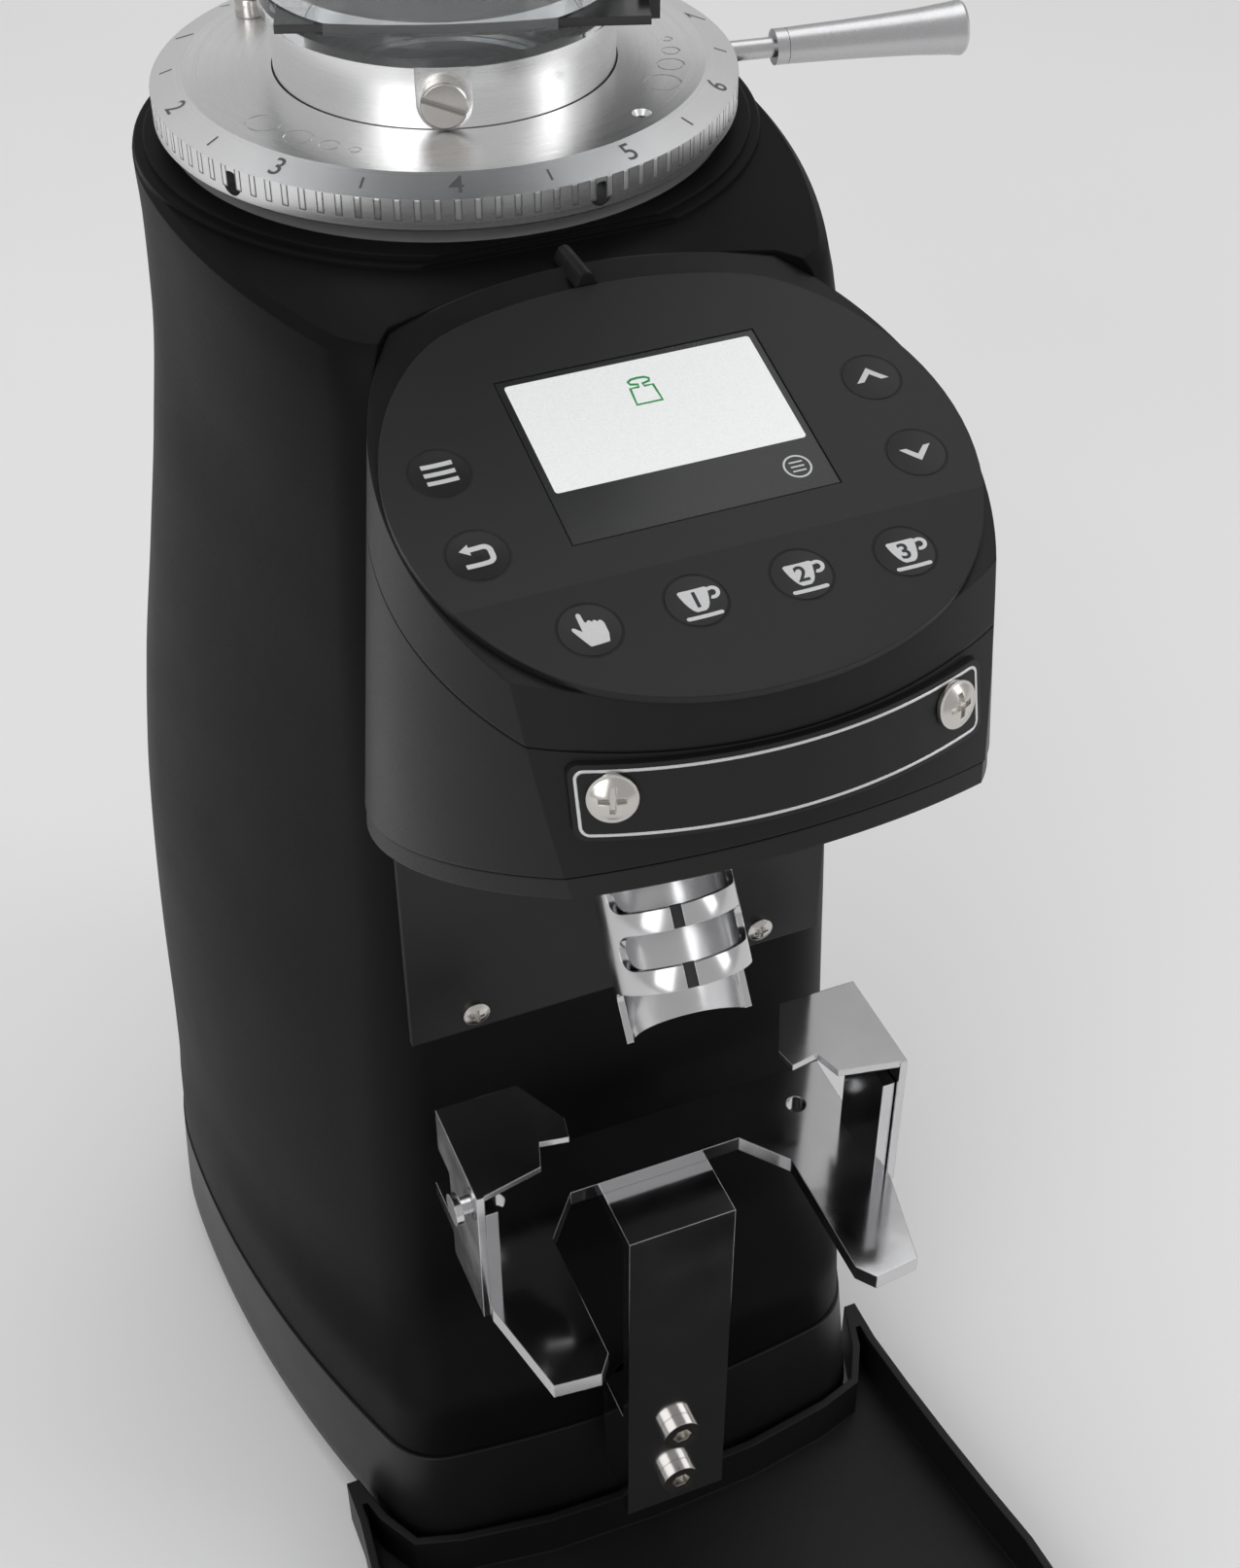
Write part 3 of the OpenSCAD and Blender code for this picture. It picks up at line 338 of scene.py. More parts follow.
def slab(points, place, low, high):
    """Verts and faces of a flat outline, given counter-clockwise, as a thin solid set by place(u, v, w)."""
    n = len(points)
    verts = [place(u, v, low) for u, v in points] + [place(u, v, high) for u, v in points]
    faces = [list(range(n))[::-1], list(range(n, 2 * n))]
    faces += [[i, (i + 1) % n, n + (i + 1) % n, n + i] for i in range(n)]
    return verts, faces


def strip(path, width, place, low, high, closed=False):
    """A band of a given width along a path, as quads, so that it can follow a curved face."""
    n = len(path)
    left, right = [], []
    for i, (u, v) in enumerate(path):
        a = path[i - 1] if (i or closed) else path[i]
        b = path[(i + 1) % n] if (i < n - 1 or closed) else path[i]
        du, dv = b[0] - a[0], b[1] - a[1]
        k = math.hypot(du, dv) or 1
        nu, nv = -dv / k, du / k
        left.append((u + nu * width / 2, v + nv * width / 2))
        right.append((u - nu * width / 2, v - nv * width / 2))
    verts = []
    for w in (low, high):
        verts += [place(u, v, w) for u, v in left] + [place(u, v, w) for u, v in right]
    faces = []
    count = n if closed else n - 1
    for i in range(count):
        j = (i + 1) % n
        l0, l1, r0, r1 = i, j, n + i, n + j
        faces.append([2 * n + r0, 2 * n + r1, 2 * n + l1, 2 * n + l0])
        faces.append([l0, l1, r1, r0])
        faces.append([l0, 2 * n + l0, 2 * n + l1, l1])
        faces.append([r0, r1, 2 * n + r1, 2 * n + r0])
    if not closed:
        for i in (0, n - 1):
            faces.append([i, n + i, 3 * n + i, 2 * n + i])
    return verts, faces


def merged(parts):
    verts, faces = [], []
    for v, f in parts:
        k = len(verts)
        verts += v
        faces += [[i + k for i in q] for q in f]
    return verts, faces


def arc(cx, cy, r, a0, a1, n):
    return [(cx + r * math.cos(math.radians(a0 + (a1 - a0) * i / n)),
             cy + r * math.sin(math.radians(a0 + (a1 - a0) * i / n))) for i in range(n + 1)]


def number_mesh(n, size, place, depth, grow):
    """A plain number as a thin solid that follows place(u, v, w)."""
    cu = bpy.data.curves.new("digit", "FONT")
    cu.body = str(n)
    cu.size = size
    cu.align_x = "CENTER"
    cu.align_y = "CENTER"
    cu.extrude = 0.5
    cu.offset = grow
    cu.resolution_u = 4
    tmp = bpy.data.objects.new("digit", cu)
    bpy.context.scene.collection.objects.link(tmp)
    bpy.context.view_layer.update()
    me = bpy.data.meshes.new_from_object(tmp.evaluated_get(bpy.context.evaluated_depsgraph_get()))
    verts = [place(v.co.x, v.co.y, depth if v.co.z > 0 else -depth) for v in me.vertices]
    faces = [list(p.vertices) for p in me.polygons]
    bpy.data.objects.remove(tmp)
    return verts, faces


def lathe(profile, place, n=40):
    """Solid of revolution from a profile of (radius, height) in mm, closed by a face at both ends."""
    verts, faces = [], []
    turns = [2 * math.pi * i / n for i in range(n)]
    for r, z in profile:
        verts += [place(r * math.cos(t), r * math.sin(t), z) for t in turns]
    for k in range(len(profile) - 1):
        for i in range(n):
            j = (i + 1) % n
            faces.append([k * n + i, k * n + j, (k + 1) * n + j, (k + 1) * n + i])
    faces.append(list(range(n))[::-1])
    faces.append([(len(profile) - 1) * n + i for i in range(n)])
    return verts, faces


def plain(u, v, w):
    return Vector((u * MM, v * MM, w * MM))


def at(x, y):
    return lambda u, v, w: plain(x + u, y + v, w)


def block(x0, x1, y0, y1, z0, z1, place=plain):
    return slab([(x0, y0), (x1, y0), (x1, y1), (x0, y1)], place, z0, z1)


def carve(base, others, op="DIFFERENCE"):
    """Applies a run of boolean steps to base and deletes the helpers."""
    for o in others:
        m = base.modifiers.new("step", "BOOLEAN")
        m.operation = op
        m.object = o
        m.solver = "MANIFOLD"
    bpy.context.view_layer.update()
    me = bpy.data.meshes.new_from_object(base.evaluated_get(bpy.context.evaluated_depsgraph_get()))
    base.modifiers.clear()
    base.data = me
    for o in others:
        bpy.data.objects.remove(o)
    return base


def dress(obj, mat, body, angle=32):
    """Material, smooth shading with creases over an angle, body and slot of a carved piece."""
    me = obj.data
    me.materials.clear()
    me.materials.append(mat)
    me.shade_smooth()
    me.set_sharp_from_angle(angle=math.radians(angle))
    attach(obj, body)


# ---------- Body and plinth ----------

SEAM, SHOULDER, WALL = 42.0, 335.0, 4.0
# [height, half width, y of the widest point, half width of the front, front y, rear y, front bulge]
BODY = [
    [SEAM, 83, 21, 57.5, -96.5, 95, 5], [60, 82, 20, 56.5, -96, 95, 5], [67, 81.5, 19, 55, -92, 94, 4],
    [76, 81, 19, 53.5, -87, 94, 2], [90, 80.5, 18, 53, -84.7, 93, 0.3], [125, 79.5, 16, 51.8, -84.7, 91, 0.3],
    [170, 77.2, 12, 49.8, -84.7, 87, 0.3], [205, 73.8, 8, 48.6, -84.7, 82, 0.3],
    [240, 68.8, 4, 48.4, -84.7, 77, 0.3], [270, 64.5, 2, 48.2, -84.7, 72, 0.3],
    [300, 61.3, 0, 46.6, -84.7, 68, 0.3], [322, 60.8, -2, 44.6, -83.7, 66, 0.3],
    [SHOULDER - 1.6, 61.2, -3, 43.6, -79.7, 65, 0.3], [SHOULDER, 59.8, -3, 42.2, -78.3, 63.6, 0.3]]
PLINTH = [
    [8, 84, 26, 59, -101.4, 97, 5.5], [10, 84.5, 26, 59.6, -102, 97.5, 5.5],
    [14, 84.3, 26, 59.4, -101.4, 97.3, 5.5], [SEAM - 0.8, 83.4, 21, 58, -97, 95.4, 5]]
CORNER, REAR_POWER = 9.0, 2.1


def smooth_stations(rows, step=4.0):
    """Stations between the given ones, on curves that don't overshoot (monotone cubic)."""
    zs = [r[0] for r in rows]
    slopes = []
    for c in range(1, 7):
        d = [(rows[i + 1][c] - rows[i][c]) / (zs[i + 1] - zs[i]) for i in range(len(rows) - 1)]
        inner = [0 if a * b <= 0 else 2 * a * b / (a + b) for a, b in zip(d, d[1:])]
        slopes.append([d[0]] + inner + [d[-1]])
    out = []
    for i in range(len(rows) - 1):
        h = zs[i + 1] - zs[i]
        n = max(1, round(h / step))
        for k in range(n):
            t = k / n
            row = [zs[i] + h * t]
            for c in range(1, 7):
                m = slopes[c - 1]
                row.append((2 * t ** 3 - 3 * t ** 2 + 1) * rows[i][c] + (t ** 3 - 2 * t ** 2 + t) * h * m[i]
                           + (3 * t ** 2 - 2 * t ** 3) * rows[i + 1][c] + (t ** 3 - t ** 2) * h * m[i + 1])
            out.append(row)
    return out + [list(rows[-1])]


def section(s, g, n):
    """Plan outline of a station inset by g, round from the front centre."""
    _, w, yw, f, yf, yr, bulge = s
    w, f, yf, yr = w - g, f - g, yf + g, yr - g
    y1 = yf + CORNER

    def front(x):
        return yf - bulge * (1 - (x / f) ** 2)

    def side(y):
        return w - (w - f) * ((yw - y) / (yw - yf)) ** 2
    a, b, c = (f - CORNER, front(f - CORNER)), (f, yf), (side(y1), y1)
    half = [((f - CORNER) * i / n, front((f - CORNER) * i / n)) for i in range(n)]
    for i in range(n + 1):
        t = i / n
        half.append(tuple((1 - t) ** 2 * a[k] + 2 * t * (1 - t) * b[k] + t * t * c[k] for k in (0, 1)))
    for i in range(1, 2 * n + 1):
        y = y1 + (yw - y1) * i / (2 * n)
        half.append((side(y), y))
    for i in range(1, 2 * n + 1):
        q = math.radians(90 * i / (2 * n))
        half.append((w * max(0, math.cos(q)) ** (2 / REAR_POWER),
                     yw + (yr - yw) * math.sin(q) ** (2 / REAR_POWER)))
    half[-1] = (0.0, half[-1][1])
    return half + [(-x, y) for x, y in half[-2:0:-1]]


def loft(rows, g, n):
    rings = [section(r, g, n) for r in rows]
    m = len(rings[0])
    verts = [Vector((x * MM, y * MM, rows[k][0] * MM)) for k, ring in enumerate(rings) for x, y in ring]
    faces = [[k * m + i, k * m + (i + 1) % m, (k + 1) * m + (i + 1) % m, (k + 1) * m + i]
             for k in range(len(rows) - 1) for i in range(m)]
    faces += [list(range(m))[::-1], [(len(rows) - 1) * m + i for i in range(m)]]
    return verts, faces


SPOUT_LEAN, SPOUT_Y, SPOUT_Z = math.radians(35.9), -107.2, 227.8


def on_spout(u, v, w):
    """Frame of the spout: w up along the tube, -v to its front."""
    c, d = math.cos(SPOUT_LEAN), math.sin(SPOUT_LEAN)
    return plain(u, SPOUT_Y + v * c + w * d, SPOUT_Z - v * d + w * c)


def tube(r, z0, z1, place=plain, n=96):
    return lathe([(r, z0), (r, z1)], place, n)


# The head's shell is the common part of three cones: [(radius, height)] of its front and of its two sides
HEAD_FRONT, HEAD_FRONT_Y = [(103.9, 240), (79.5, 344)], -69.7
HEAD_SIDE, HEAD_SIDE_X, HEAD_SIDE_Y = [(73.4, 240), (65.3, 344)], 16.8, -112
RECESS_Z = 317.7
RECESS_R, RECESS_Y = 95.2, -160.5
recess = carve(solid("recess", tube(RECESS_R, RECESS_Z, 360, at(0, RECESS_Y), 128)), [
    solid("front", lathe(HEAD_FRONT, at(0, HEAD_FRONT_Y), 160)),
    solid("right", lathe(HEAD_SIDE, at(HEAD_SIDE_X, HEAD_SIDE_Y), 160)),
    solid("left", lathe(HEAD_SIDE, at(-HEAD_SIDE_X, HEAD_SIDE_Y), 160)),
    solid("reach", block(-80, 80, -120, -40, RECESS_Z, 350))], "INTERSECT")
# Round seat under the collar, with two flats across its front
SEAT = [(60.8, 329), (60.8, 335.6), (60.4, 336), (58.8, 336), (58.8, 336.7), (58.5, 337), (50, 337)]
LOWER_FLAT_Y, UPPER_FLAT_Y = -55.6, -54.9
seat = carve(solid("seat", lathe(SEAT, plain, 128)), [
    solid("lower_flat", block(-70, 70, -100, LOWER_FLAT_Y, 335, 345)),
    solid("upper_flat", block(-70, 70, -100, UPPER_FLAT_Y, 336, 345))])
NECK_BORE_R, FLANGE_BORE_R, DUCT_BORE_R = 51, 54.1, 16.3
CABLE_HOLE_R, CABLE_HOLE_Y, CABLE_HOLE_Z = 8, -80, 53.5


def at_cable_hole(u, v, w):
    """Frame of the hole for the load cell's cable, with w towards the front."""
    return plain(u, CABLE_HOLE_Y - w, CABLE_HOLE_Z + v)


# Solid height left under the shoulder
ROOF = 11
inner = [r for r in smooth_stations(BODY) if r[0] < SHOULDER - ROOF]
# The cavity starts 1 mm under the shell's lower edge, so that it cuts through it
inner[0][0] -= 1
shell = solid("body_shell", loft(smooth_stations(BODY), 0, 12))
shell = carve(shell, [seat], "UNION")
shell = carve(shell, [
    solid("inside", loft(inner, WALL, 6)),
    solid("neck_bore", tube(NECK_BORE_R, 305, 345)),
    solid("flange_bore", tube(FLANGE_BORE_R, 333, 345)),
    recess,
    solid("duct_bore", tube(DUCT_BORE_R, 10, 80, on_spout)),
    solid("cable_hole", tube(CABLE_HOLE_R, 0, 40, at_cable_hole, 48)),
    solid("panel_hole", block(-28, 28, 70, 110, 66, 100)),
    solid("panel_rebate", block(-32, 32, 86, 106, 62, 104))])
dress(shell, coated("body_coat", (0.0045, 0.0045, 0.0047), 0.5, spec=0.07), "grinder")
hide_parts("body_casting")

base = solid("plinth_shell", loft(smooth_stations(PLINTH), 0, 12))
FEET = [(-50, -78), (50, -78), (-52, 62), (52, 62)]
FOOT_HOLE_R, FOOT_BOSS_R = 2.6, 8
foot_holes = [solid("foot_hole", tube(FOOT_HOLE_R, 0, 16.5, at(x, y), 32)) for x, y in FEET]
hollow = carve(solid("hollow", loft([[11] + PLINTH[0][1:], [SEAM + 1] + PLINTH[3][1:]], WALL - 0.5, 6)),
               [solid("boss", tube(FOOT_BOSS_R, 7, 16, at(x, y), 32)) for x, y in FEET])
base = carve(base, [hollow, solid("cord_way", block(-22, 22, -2, 70, 0, 20))] + foot_holes)
dress(base, MATERIALS["plinth_paint"], "grinder")
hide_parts("base_plinth")

# ---------- Spout ----------

SPOUT_R, SPOUT_IN, TIP_Z, LIP_Z = 13.7, 12.3, -32.0, -21.3
SPLIT_HALF, SPLIT_TURN = 1.1, math.radians(-11.5)
TIP_TURN, TIP_V = math.radians(-38), -7.6
# [bottom, top, how far back it reaches]
WINDOWS = [(-5.2, 1, -4.5), (-16.5, -9.6, -4.5), (TIP_Z - 14, LIP_Z, 3)]
WINDOW_CORNER, PAST_FRONT = 3, -31


def window(z0, z1, end):
    """Cutter across the spout's front, with round corners at its end."""
    r = min(WINDOW_CORNER, (z1 - z0) / 2 - 0.01)
    corners = arc(end - r, z0 + r, r, -90, 0, 8) + arc(end - r, z1 - r, r, 0, 90, 8)
    points = [(PAST_FRONT, z0)] + corners + [(PAST_FRONT, z1)]
    return slab(points, lambda v, w, u: on_spout(u, v, w), -30, 30)


def turned_spout(u, v, w):
    """Frame of the spout turned to the split."""
    c, d = math.cos(SPLIT_TURN), math.sin(SPLIT_TURN)
    return on_spout(u * c - v * d, u * d + v * c, w)


def tip_cut(u, v, w):
    """Frame of the slanting cut at the spout's tip."""
    c, d = math.cos(TIP_TURN), math.sin(TIP_TURN)
    return on_spout(u, TIP_V + v * c - w * d, TIP_Z - 3 + v * d + w * c)


cuts = [solid("bore", tube(SPOUT_IN, TIP_Z - 2, 36, on_spout, 128))]
cuts += [solid("window", window(*w)) for w in WINDOWS]
cuts.append(solid("split", block(-SPLIT_HALF, SPLIT_HALF, -20, 0, TIP_Z - 1, TIP_Z + 33, turned_spout)))
cuts.append(solid("tip", block(-30, 30, -30, 0, -30, 4, tip_cut)))
pipe = carve(solid("spout_pipe", tube(SPOUT_R, TIP_Z, 34, on_spout, 128)), cuts)
soft = pipe.modifiers.new("soft", "BEVEL")
soft.width = 0.4 * MM
soft.segments = 3
soft.limit_method = "ANGLE"
soft.angle_limit = math.radians(40)
carve(pipe, [])
dress(pipe, polished("spout_chrome", (0.62, 0.62, 0.63), 0.2), "grinder", 50)
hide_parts("spout")
# Dark strips inside the spout's split between the windows: painted shade for the dark reflection seen in the
# split, not a real part
split_shade_strips = [block(-SPLIT_HALF, SPLIT_HALF, -SPOUT_R + 0.5, -SPOUT_IN + 0.1, z0, z1, turned_spout)
         for z0, z1 in ((LIP_Z, WINDOWS[1][0]), (WINDOWS[1][1], WINDOWS[0][0]))]
add_mesh("spout_split_painted_shade", merged(split_shade_strips), DARK, "grinder")

# ---------- Screw in the neck ----------

NECK_TURN, SCREW_FACE, SCREW_Z, SLOT_FALL = math.radians(-18.9), 31.3, 353, math.radians(20)


def on_neck(u, v, w):
    """Place on the neck's screw: u to its right, v up, w outwards, in mm."""
    a, r = NECK_TURN - math.pi / 2, SCREW_FACE + w
    return plain(r * math.cos(a) - u * math.sin(a), r * math.sin(a) + u * math.cos(a), SCREW_Z + v)


def along_slot(u, v, w):
    """The same place turned to the slot, which falls to the right."""
    c, d = math.cos(SLOT_FALL), math.sin(SLOT_FALL)
    return on_neck(u * c + v * d, v * c - u * d, w)


SCREW = [(1.95, -1.8), (1.95, 0), (4.35, 0), (4.35, 2.3), (4.05, 2.6)]
SLOT_HALF, SLOT_FLOOR = 0.6, 1.4
screw = carve(solid("neck_screw", lathe(SCREW, on_neck, 64)),
              [solid("slot", block(-6, 6, -SLOT_HALF, SLOT_HALF, SLOT_FLOOR, 4, along_slot))])
dress(screw, MATERIALS["screw_steel"], "carriage")
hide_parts("neck_screws")

# ---------- Grind collar: scale, numbers, stud ----------

TICKS, NUMBERS = 100, 10


def on_band(angle):
    """Place on the band: u along the rim, v up from its upper edge, w outwards, in mm."""
    def place(u, v, w):
        a = angle + u * MM / COLLAR_R
        r = COLLAR_R + w * MM
        return Vector((r * math.cos(a), r * math.sin(a), BAND_TOP + v * MM))
    return place


def on_chamfer(angle):
    """Place on the sloping face over the band: u along the rim, v up from its middle, w out of the face."""
    run, rise = COLLAR_R - COLLAR_TOP_R, COLLAR_TOP - BAND_TOP
    slope = math.hypot(run, rise)
    mid_r, mid_z = (COLLAR_R + COLLAR_TOP_R) / 2, (COLLAR_TOP + BAND_TOP) / 2

    def place(u, v, w):
        r = mid_r - v * MM * run / slope + w * MM * rise / slope
        z = mid_z + v * MM * rise / slope + w * MM * run / slope
        a = angle + u * MM / mid_r
        return Vector((r * math.cos(a), r * math.sin(a), z))
    return place


parts, pockets = [], []
for i in range(TICKS):
    a = NUMBER_4 + math.radians(i * 360 / TICKS)
    pockets.append(strip([(0, -3.9), (0, -2), (0, -0.1)], 1.0, on_band(a), -0.1, 0.02))
    parts += [strip([(x, -4.0), (x, -2), (x, -0.05)], 0.2, on_band(a), -0.1, 0.03) for x in (-0.6, 0.6)]
    parts.append(strip([(-0.6, -4.0), (0, -4.0), (0.6, -4.0)], 0.16, on_band(a), -0.1, 0.03))
for i in range(NUMBERS):
    a = NUMBER_4 + math.radians((i + 0.5) * 360 / NUMBERS)
    parts.append(strip([(0, -1.3), (0, 0), (0, 1.3)], 0.45, on_chamfer(a), -0.1, 0.03))
add_mesh("collar_pockets", merged(pockets), polished("milled_pocket", (0.93, 0.93, 0.93), 0.3),
         "grind_collar")
add_mesh("collar_scale", merged(parts), ENGRAVE, "grind_collar")
parts = []
for n in range(NUMBERS):
    a = NUMBER_4 + math.radians((n - 4) * 360 / NUMBERS)
    parts.append(number_mesh(n, 5.8, on_chamfer(a), 0.035, 0.03))
add_mesh("collar_numbers", merged(parts), ENGRAVE, "grind_collar")


STUD_X, STUD_Y = -29, 33.8


def stud_place(u, v, w):
    """On the collar's top, behind the neck on the left, in mm."""
    return Vector((STUD_X * MM + u * MM, STUD_Y * MM + v * MM, COLLAR_TOP + w * MM))


STUD = [(2.9, -0.05), (3.0, 0.4), (3.0, 3.4), (2.7, 3.9), (1.5, 4.1), (1.2, 4.1), (1.2, 3.0)]
add_mesh("collar_stud", lathe(STUD, stud_place), MATERIALS["screw_steel"],
         "grind_collar", True)

# ---------- Screen ----------

PAGE_W, PAGE_FRONT, PAGE_REAR = 44.6, -114.5, -91
DISPLAY_MID = (0, -115)


def on_face(x0, y0):
    """Place on the panel round a plan point: u to the right, v up the slope, w out of it, in mm."""
    o = panel_point(x0, y0)

    def place(u, v, w):
        return o + Vector((u * MM, 0, 0)) + PANEL_UP * (v * MM) + PANEL_N * (w * MM)
    return place


def rounded(w, h, r):
    """Outline of a rectangle with round corners."""
    x, y = w / 2 - r, h / 2 - r
    return (arc(x, y, r, 0, 90, 5) + arc(-x, y, r, 90, 180, 5)
            + arc(-x, -y, r, 180, 270, 5) + arc(x, -y, r, 270, 360, 5))


page = rounded(PAGE_W, (PAGE_REAR - PAGE_FRONT) / PANEL_UP.y, 0.6)
page_place = on_face(0, (PAGE_REAR + PAGE_FRONT) / 2)
add_mesh("screen_page", slab(page, page_place, -0.1, -0.05), PAGE, "grinder")

# ---------- Icons ----------

BUTTONS = {"menu": (-38.7, -105.5), "back": (-38.6, -122.7), "up": (38.7, -105.5), "down": (38.6, -122.7),
           "manual": (-27.2, -141), "dose_1": (-9.1, -140.5), "dose_2": (9.1, -140.5), "dose_3": (27.2, -141)}
DISH_R, DISH_MID, BUTTON_RIM = 40.0, 39.7, 5.19


def on_dish(name):
    """Place on a button's hollow face, in mm from the button's centre."""
    face = on_face(*BUTTONS[name])

    def place(u, v, w):
        return face(u, v, DISH_MID - math.sqrt(DISH_R ** 2 - u * u - v * v) + w)
    return place


CELL = 0.45


def filled(outline, place, low, high):
    """A flat figure, finely divided so that it can follow a hollow face, as a thin solid."""
    bm = bmesh.new()
    bm.faces.new([bm.verts.new((u, v, 0)) for u, v in outline])
    for k, normal in ((0, (1, 0, 0)), (1, (0, 1, 0))):
        c = min(p[k] for p in outline) + CELL
        while c < max(p[k] for p in outline):
            co = (c, 0, 0) if k == 0 else (0, c, 0)
            everything = bm.verts[:] + bm.edges[:] + bm.faces[:]
            bmesh.ops.bisect_plane(bm, geom=everything, plane_co=co, plane_no=normal)
            c += CELL
    bmesh.ops.triangulate(bm, faces=bm.faces[:])
    top = bm.faces[:]
    made = bmesh.ops.extrude_face_region(bm, geom=top)
    raised = {v for v in made["geom"] if isinstance(v, bmesh.types.BMVert)}
    bm.verts.index_update()
    verts = [place(v.co.x, v.co.y, high if v in raised else low) for v in bm.verts]
    faces = [[v.index for v in f.verts] for f in bm.faces]
    bm.free()
    return verts, faces


def bar(u0, u1, v, h):
    """Outline of a level bar round the height v."""
    return [(u0, v - h / 2), (u1, v - h / 2), (u1, v + h / 2), (u0, v + h / 2)]


def band(path, width):
    """Outline of a stroke along an open path."""
    left, right = [], []
    for i, (u, v) in enumerate(path):
        a, b = path[max(0, i - 1)], path[min(len(path) - 1, i + 1)]
        k = math.hypot(b[0] - a[0], b[1] - a[1])
        nu, nv = -(b[1] - a[1]) / k, (b[0] - a[0]) / k
        left.append((u + nu * width / 2, v + nv * width / 2))
        right.append((u - nu * width / 2, v - nv * width / 2))
    return right + left[::-1]


turn = ([(-2.4, -1.75), (0.2, -1.7)] + arc(1.3, -0.6, 1.05, -90, 0, 5) + arc(1.3, 0.6, 1.05, 0, 90, 5)
        + [(0.2, 1.6), (-0.95, 1.55)])
cup = [(-2.45, 2.15), (-2.3, 1.4), (-1.95, 0.2), (-1.55, -0.8), (-1.1, -1.6), (-0.6, -2.05), (0.9, -2.05),
       (1.5, -1.6), (1.95, -0.8), (2.25, 0.2), (2.5, 1.4), (2.6, 2.15), (2.2, 2.4), (-2.1, 2.4)]
handle = arc(3.1, 0.95, 1.25, -120, 130, 14) + arc(3.1, 0.95, 0.6, 130, -120, 14)
saucer = arc(-2.55, -3.15, 0.38, 90, 270, 5) + arc(3.0, -3.15, 0.38, -90, 90, 5)
hand = [(-0.85, -3.0), (2.3, -2.85), (2.75, -1.2), (2.75, 0.8), (2.5, 1.4), (2.15, 1.58), (1.85, 1.35),
        (1.6, 1.72), (1.25, 1.8), (1.0, 1.5), (0.72, 1.95), (0.35, 1.95), (0.05, 1.6), (-0.2, 1.9),
        (-0.32, 3.3), (-0.62, 3.62), (-0.98, 3.5), (-1.1, 3.2), (-1.08, 0.1), (-2.15, 1.1),
        (-2.55, 1.1), (-2.65, 0.7)]
ICONS = {
    "menu": [bar(-2.55, 2.75, v, 0.88) for v in (1.95, 0.2, -1.6)],
    "back": [band(turn, 0.92), [(-0.9, 0.45), (-0.9, 2.65), (-2.6, 1.55)]],
    "up": [[(-2.85, -0.55), (-1.45, -0.5), (0.15, 1.1), (1.75, -0.5), (3.1, -0.55), (0.15, 2.5)][::-1]],
    "down": [[(-2.5, 1.4), (-1.2, 1.4), (0.35, -0.1), (1.95, 1.4), (3.2, 1.4), (0.35, -1.6)][::-1]],
    "manual": [hand],
    "dose_1": [cup, handle, saucer], "dose_2": [cup, handle, saucer], "dose_3": [cup, handle, saucer],
}
rim = arc(0, 0, BUTTON_RIM, 0, 354, 59)
rims = [strip(rim, 0.34, on_face(*centre), -0.4, -0.04, True) for centre in BUTTONS.values()]
add_mesh("button_rims", merged(rims), MATERIALS["panel_plastic"], "grinder")
for name, shapes in ICONS.items():
    data = merged([filled(q, on_dish(name), -0.1, 0.03) for q in shapes])
    add_mesh("icon_" + name, data, INK, "button_" + name)
for n in (1, 2, 3):
    name = "dose_%d" % n
    dish = on_dish(name)
    data = number_mesh(n, 4.3, lambda u, v, w: dish(u + 0.1, v + 0.15, w), 0.05, 0.09)
    add_mesh("icon_number_%d" % n, data, DARK, "button_" + name)

# Outline of a weight, from its lower left corner
weight = [(-2.3, 15.05), (2.3, 15.05), (2.05, 18.8), (0.5, 18.8), (0.4, 19.4), (1.7, 19.7), (1.9, 20.3),
          (1.2, 20.75), (0, 20.85), (-1.2, 20.75), (-1.9, 20.3), (-1.7, 19.7), (-0.4, 19.4), (-0.5, 18.8),
          (-2.05, 18.8)]
screen_face = on_face(*DISPLAY_MID)
add_mesh("screen_weight", strip(weight, 0.46, screen_face, -0.07, -0.01, True), GREEN, "grinder")
MARK_U, MARK_V, MARK_R = 18.05, -5.1, 2.3
parts = [strip(arc(MARK_U, MARK_V, MARK_R, 0, 350, 35), 0.34, screen_face, -0.12, -0.06, True)]
for v in (MARK_V + 0.95, MARK_V, MARK_V - 0.95):
    parts.append(strip([(MARK_U - 1.2, v), (MARK_U, v), (MARK_U + 1.2, v)], 0.3, screen_face, -0.12, -0.06))
add_mesh("screen_round_menu", merged(parts), GREY_LIGHT, "grinder")

# ---------- Nameplate ----------

PLATE_Z, PLATE_T = 295.1, 1.2
BORDER_W, BORDER_H, BORDER_CORNER = 70, 10.9, 1.4


def plate_place(u, v, w):
    """On the nameplate's cone: u across, v height from the plate's middle, w out of the face, in mm."""
    z = PLATE_Z + v
    (r0, z0), (r1, z1) = HEAD_FRONT
    r = r0 - 0.2 + PLATE_T + w + (r1 - r0) * (z - z0) / (z1 - z0)
    return plain(u, HEAD_FRONT_Y - math.sqrt(r * r - u * u), z)


border = []
outline = rounded(BORDER_W, BORDER_H, BORDER_CORNER)
for i, p in enumerate(outline):
    q = outline[(i + 1) % len(outline)]
    steps = max(1, int(math.hypot(q[0] - p[0], q[1] - p[1]) / 2))
    border += [(p[0] + (q[0] - p[0]) * k / steps, p[1] + (q[1] - p[1]) * k / steps) for k in range(steps)]
add_mesh("nameplate_border", strip(border, 0.5, plate_place, -0.05, 0.08, True), BRIGHT_LINE,
         "grinder")

# ---------- Floor, light, camera ----------

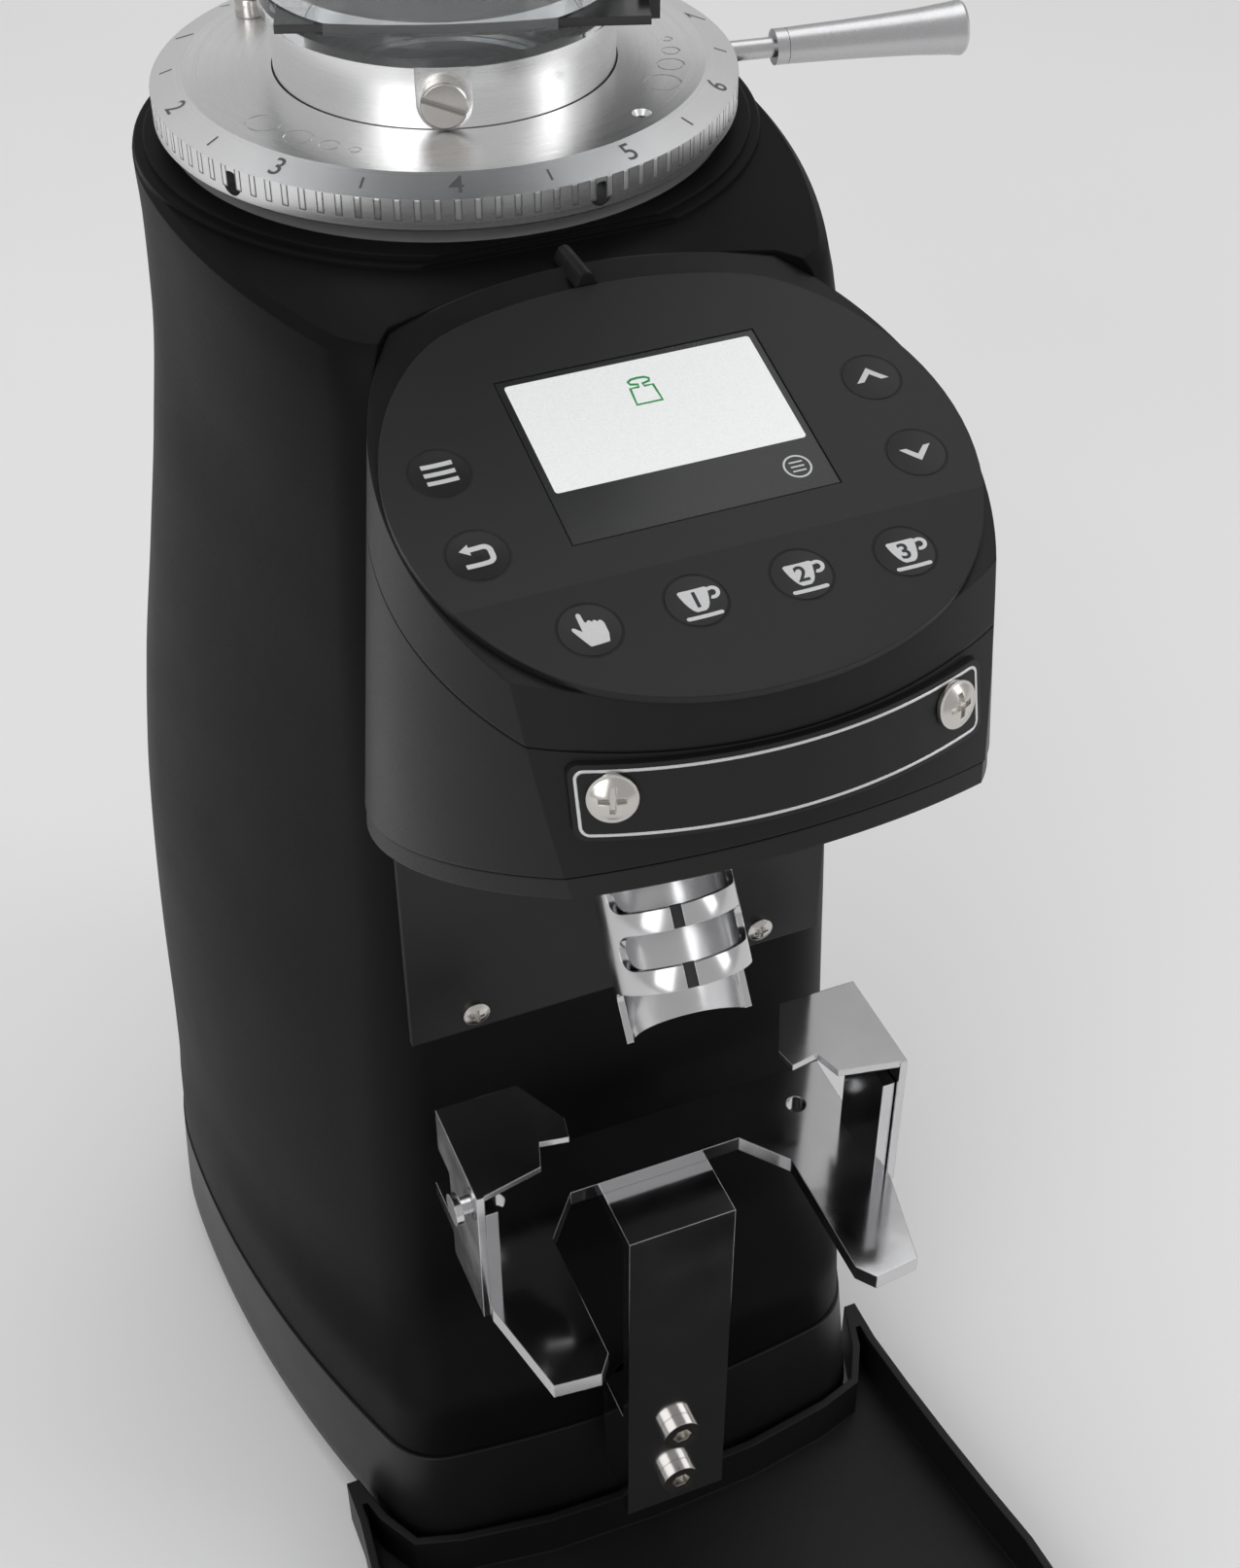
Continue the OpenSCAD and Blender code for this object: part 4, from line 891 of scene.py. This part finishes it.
scene = bpy.context.scene
me = bpy.data.meshes.new("floor")
me.from_pydata([(-4, -4, 0), (4, -4, 0), (4, 4, 0), (-4, 4, 0)], [], [[0, 1, 2, 3]])
floor = bpy.data.objects.new("floor", me)
scene.collection.objects.link(floor)
mat, tree, bsdf = new_material("pale_floor")
cloud = noise(tree, coords(tree), 3, 2)
tree.links.new(ramp(tree, cloud, [(0.3, 0.88), (0.7, 0.90)]), bsdf.inputs["Base Color"])
bsdf.inputs["Roughness"].default_value = 0.9
bsdf.inputs["Specular IOR Level"].default_value = 0.1
me.materials.append(mat)

world = bpy.data.worlds.new("studio")
scene.world = world
world.use_nodes = True
bg = world.node_tree.nodes["Background"]
STUDIO_GREY, STUDIO_STRENGTH = 0.90, 0.58
bg.inputs["Color"].default_value = (STUDIO_GREY, STUDIO_GREY, STUDIO_GREY, 1)
bg.inputs["Strength"].default_value = STUDIO_STRENGTH


def softbox(name, loc, target, size, power):
    """A rectangular light at loc that looks at target."""
    light = bpy.data.lights.new(name, "AREA")
    light.shape = "RECTANGLE"
    light.size, light.size_y = size
    light.energy = power
    obj = bpy.data.objects.new(name, light)
    scene.collection.objects.link(obj)
    obj.location = loc
    obj.rotation_euler = (Vector(target) - Vector(loc)).to_track_quat("-Z", "Y").to_euler()


softbox("key_left", (-1.2, -1.1, 1.0), (0, 0, 0.2), (0.9, 1.6), 9)
softbox("top", (0.1, 0.3, 1.9), (0, -0.05, 0.2), (1.4, 1.4), 9)
softbox("right", (1.3, -0.9, 0.9), (0, 0, 0.2), (0.5, 1.2), 4)

CAMERA_AT = Vector((-127.86, -395.95, 522.9)) * MM
CAMERA_RIGHT = Vector((0.9238, -0.3829, 0))
CAMERA_FORWARD = Vector((0.2895, 0.6984, -0.6546))
FOCAL_LENGTH, SENSOR_WIDTH = 51.33, 36
cam = bpy.data.cameras.new("camera")
cam.lens = FOCAL_LENGTH
cam.sensor_width = SENSOR_WIDTH
cam.clip_start = 0.01
cam_obj = bpy.data.objects.new("camera", cam)
scene.collection.objects.link(cam_obj)
right = CAMERA_RIGHT.normalized()
fwd = CAMERA_FORWARD.normalized()
up = right.cross(fwd).normalized()
cam_obj.matrix_world = Matrix((
    (right.x, up.x, -fwd.x, CAMERA_AT.x),
    (right.y, up.y, -fwd.y, CAMERA_AT.y),
    (right.z, up.z, -fwd.z, CAMERA_AT.z),
    (0, 0, 0, 1)))
scene.camera = cam_obj
scene.view_settings.view_transform = "Standard"
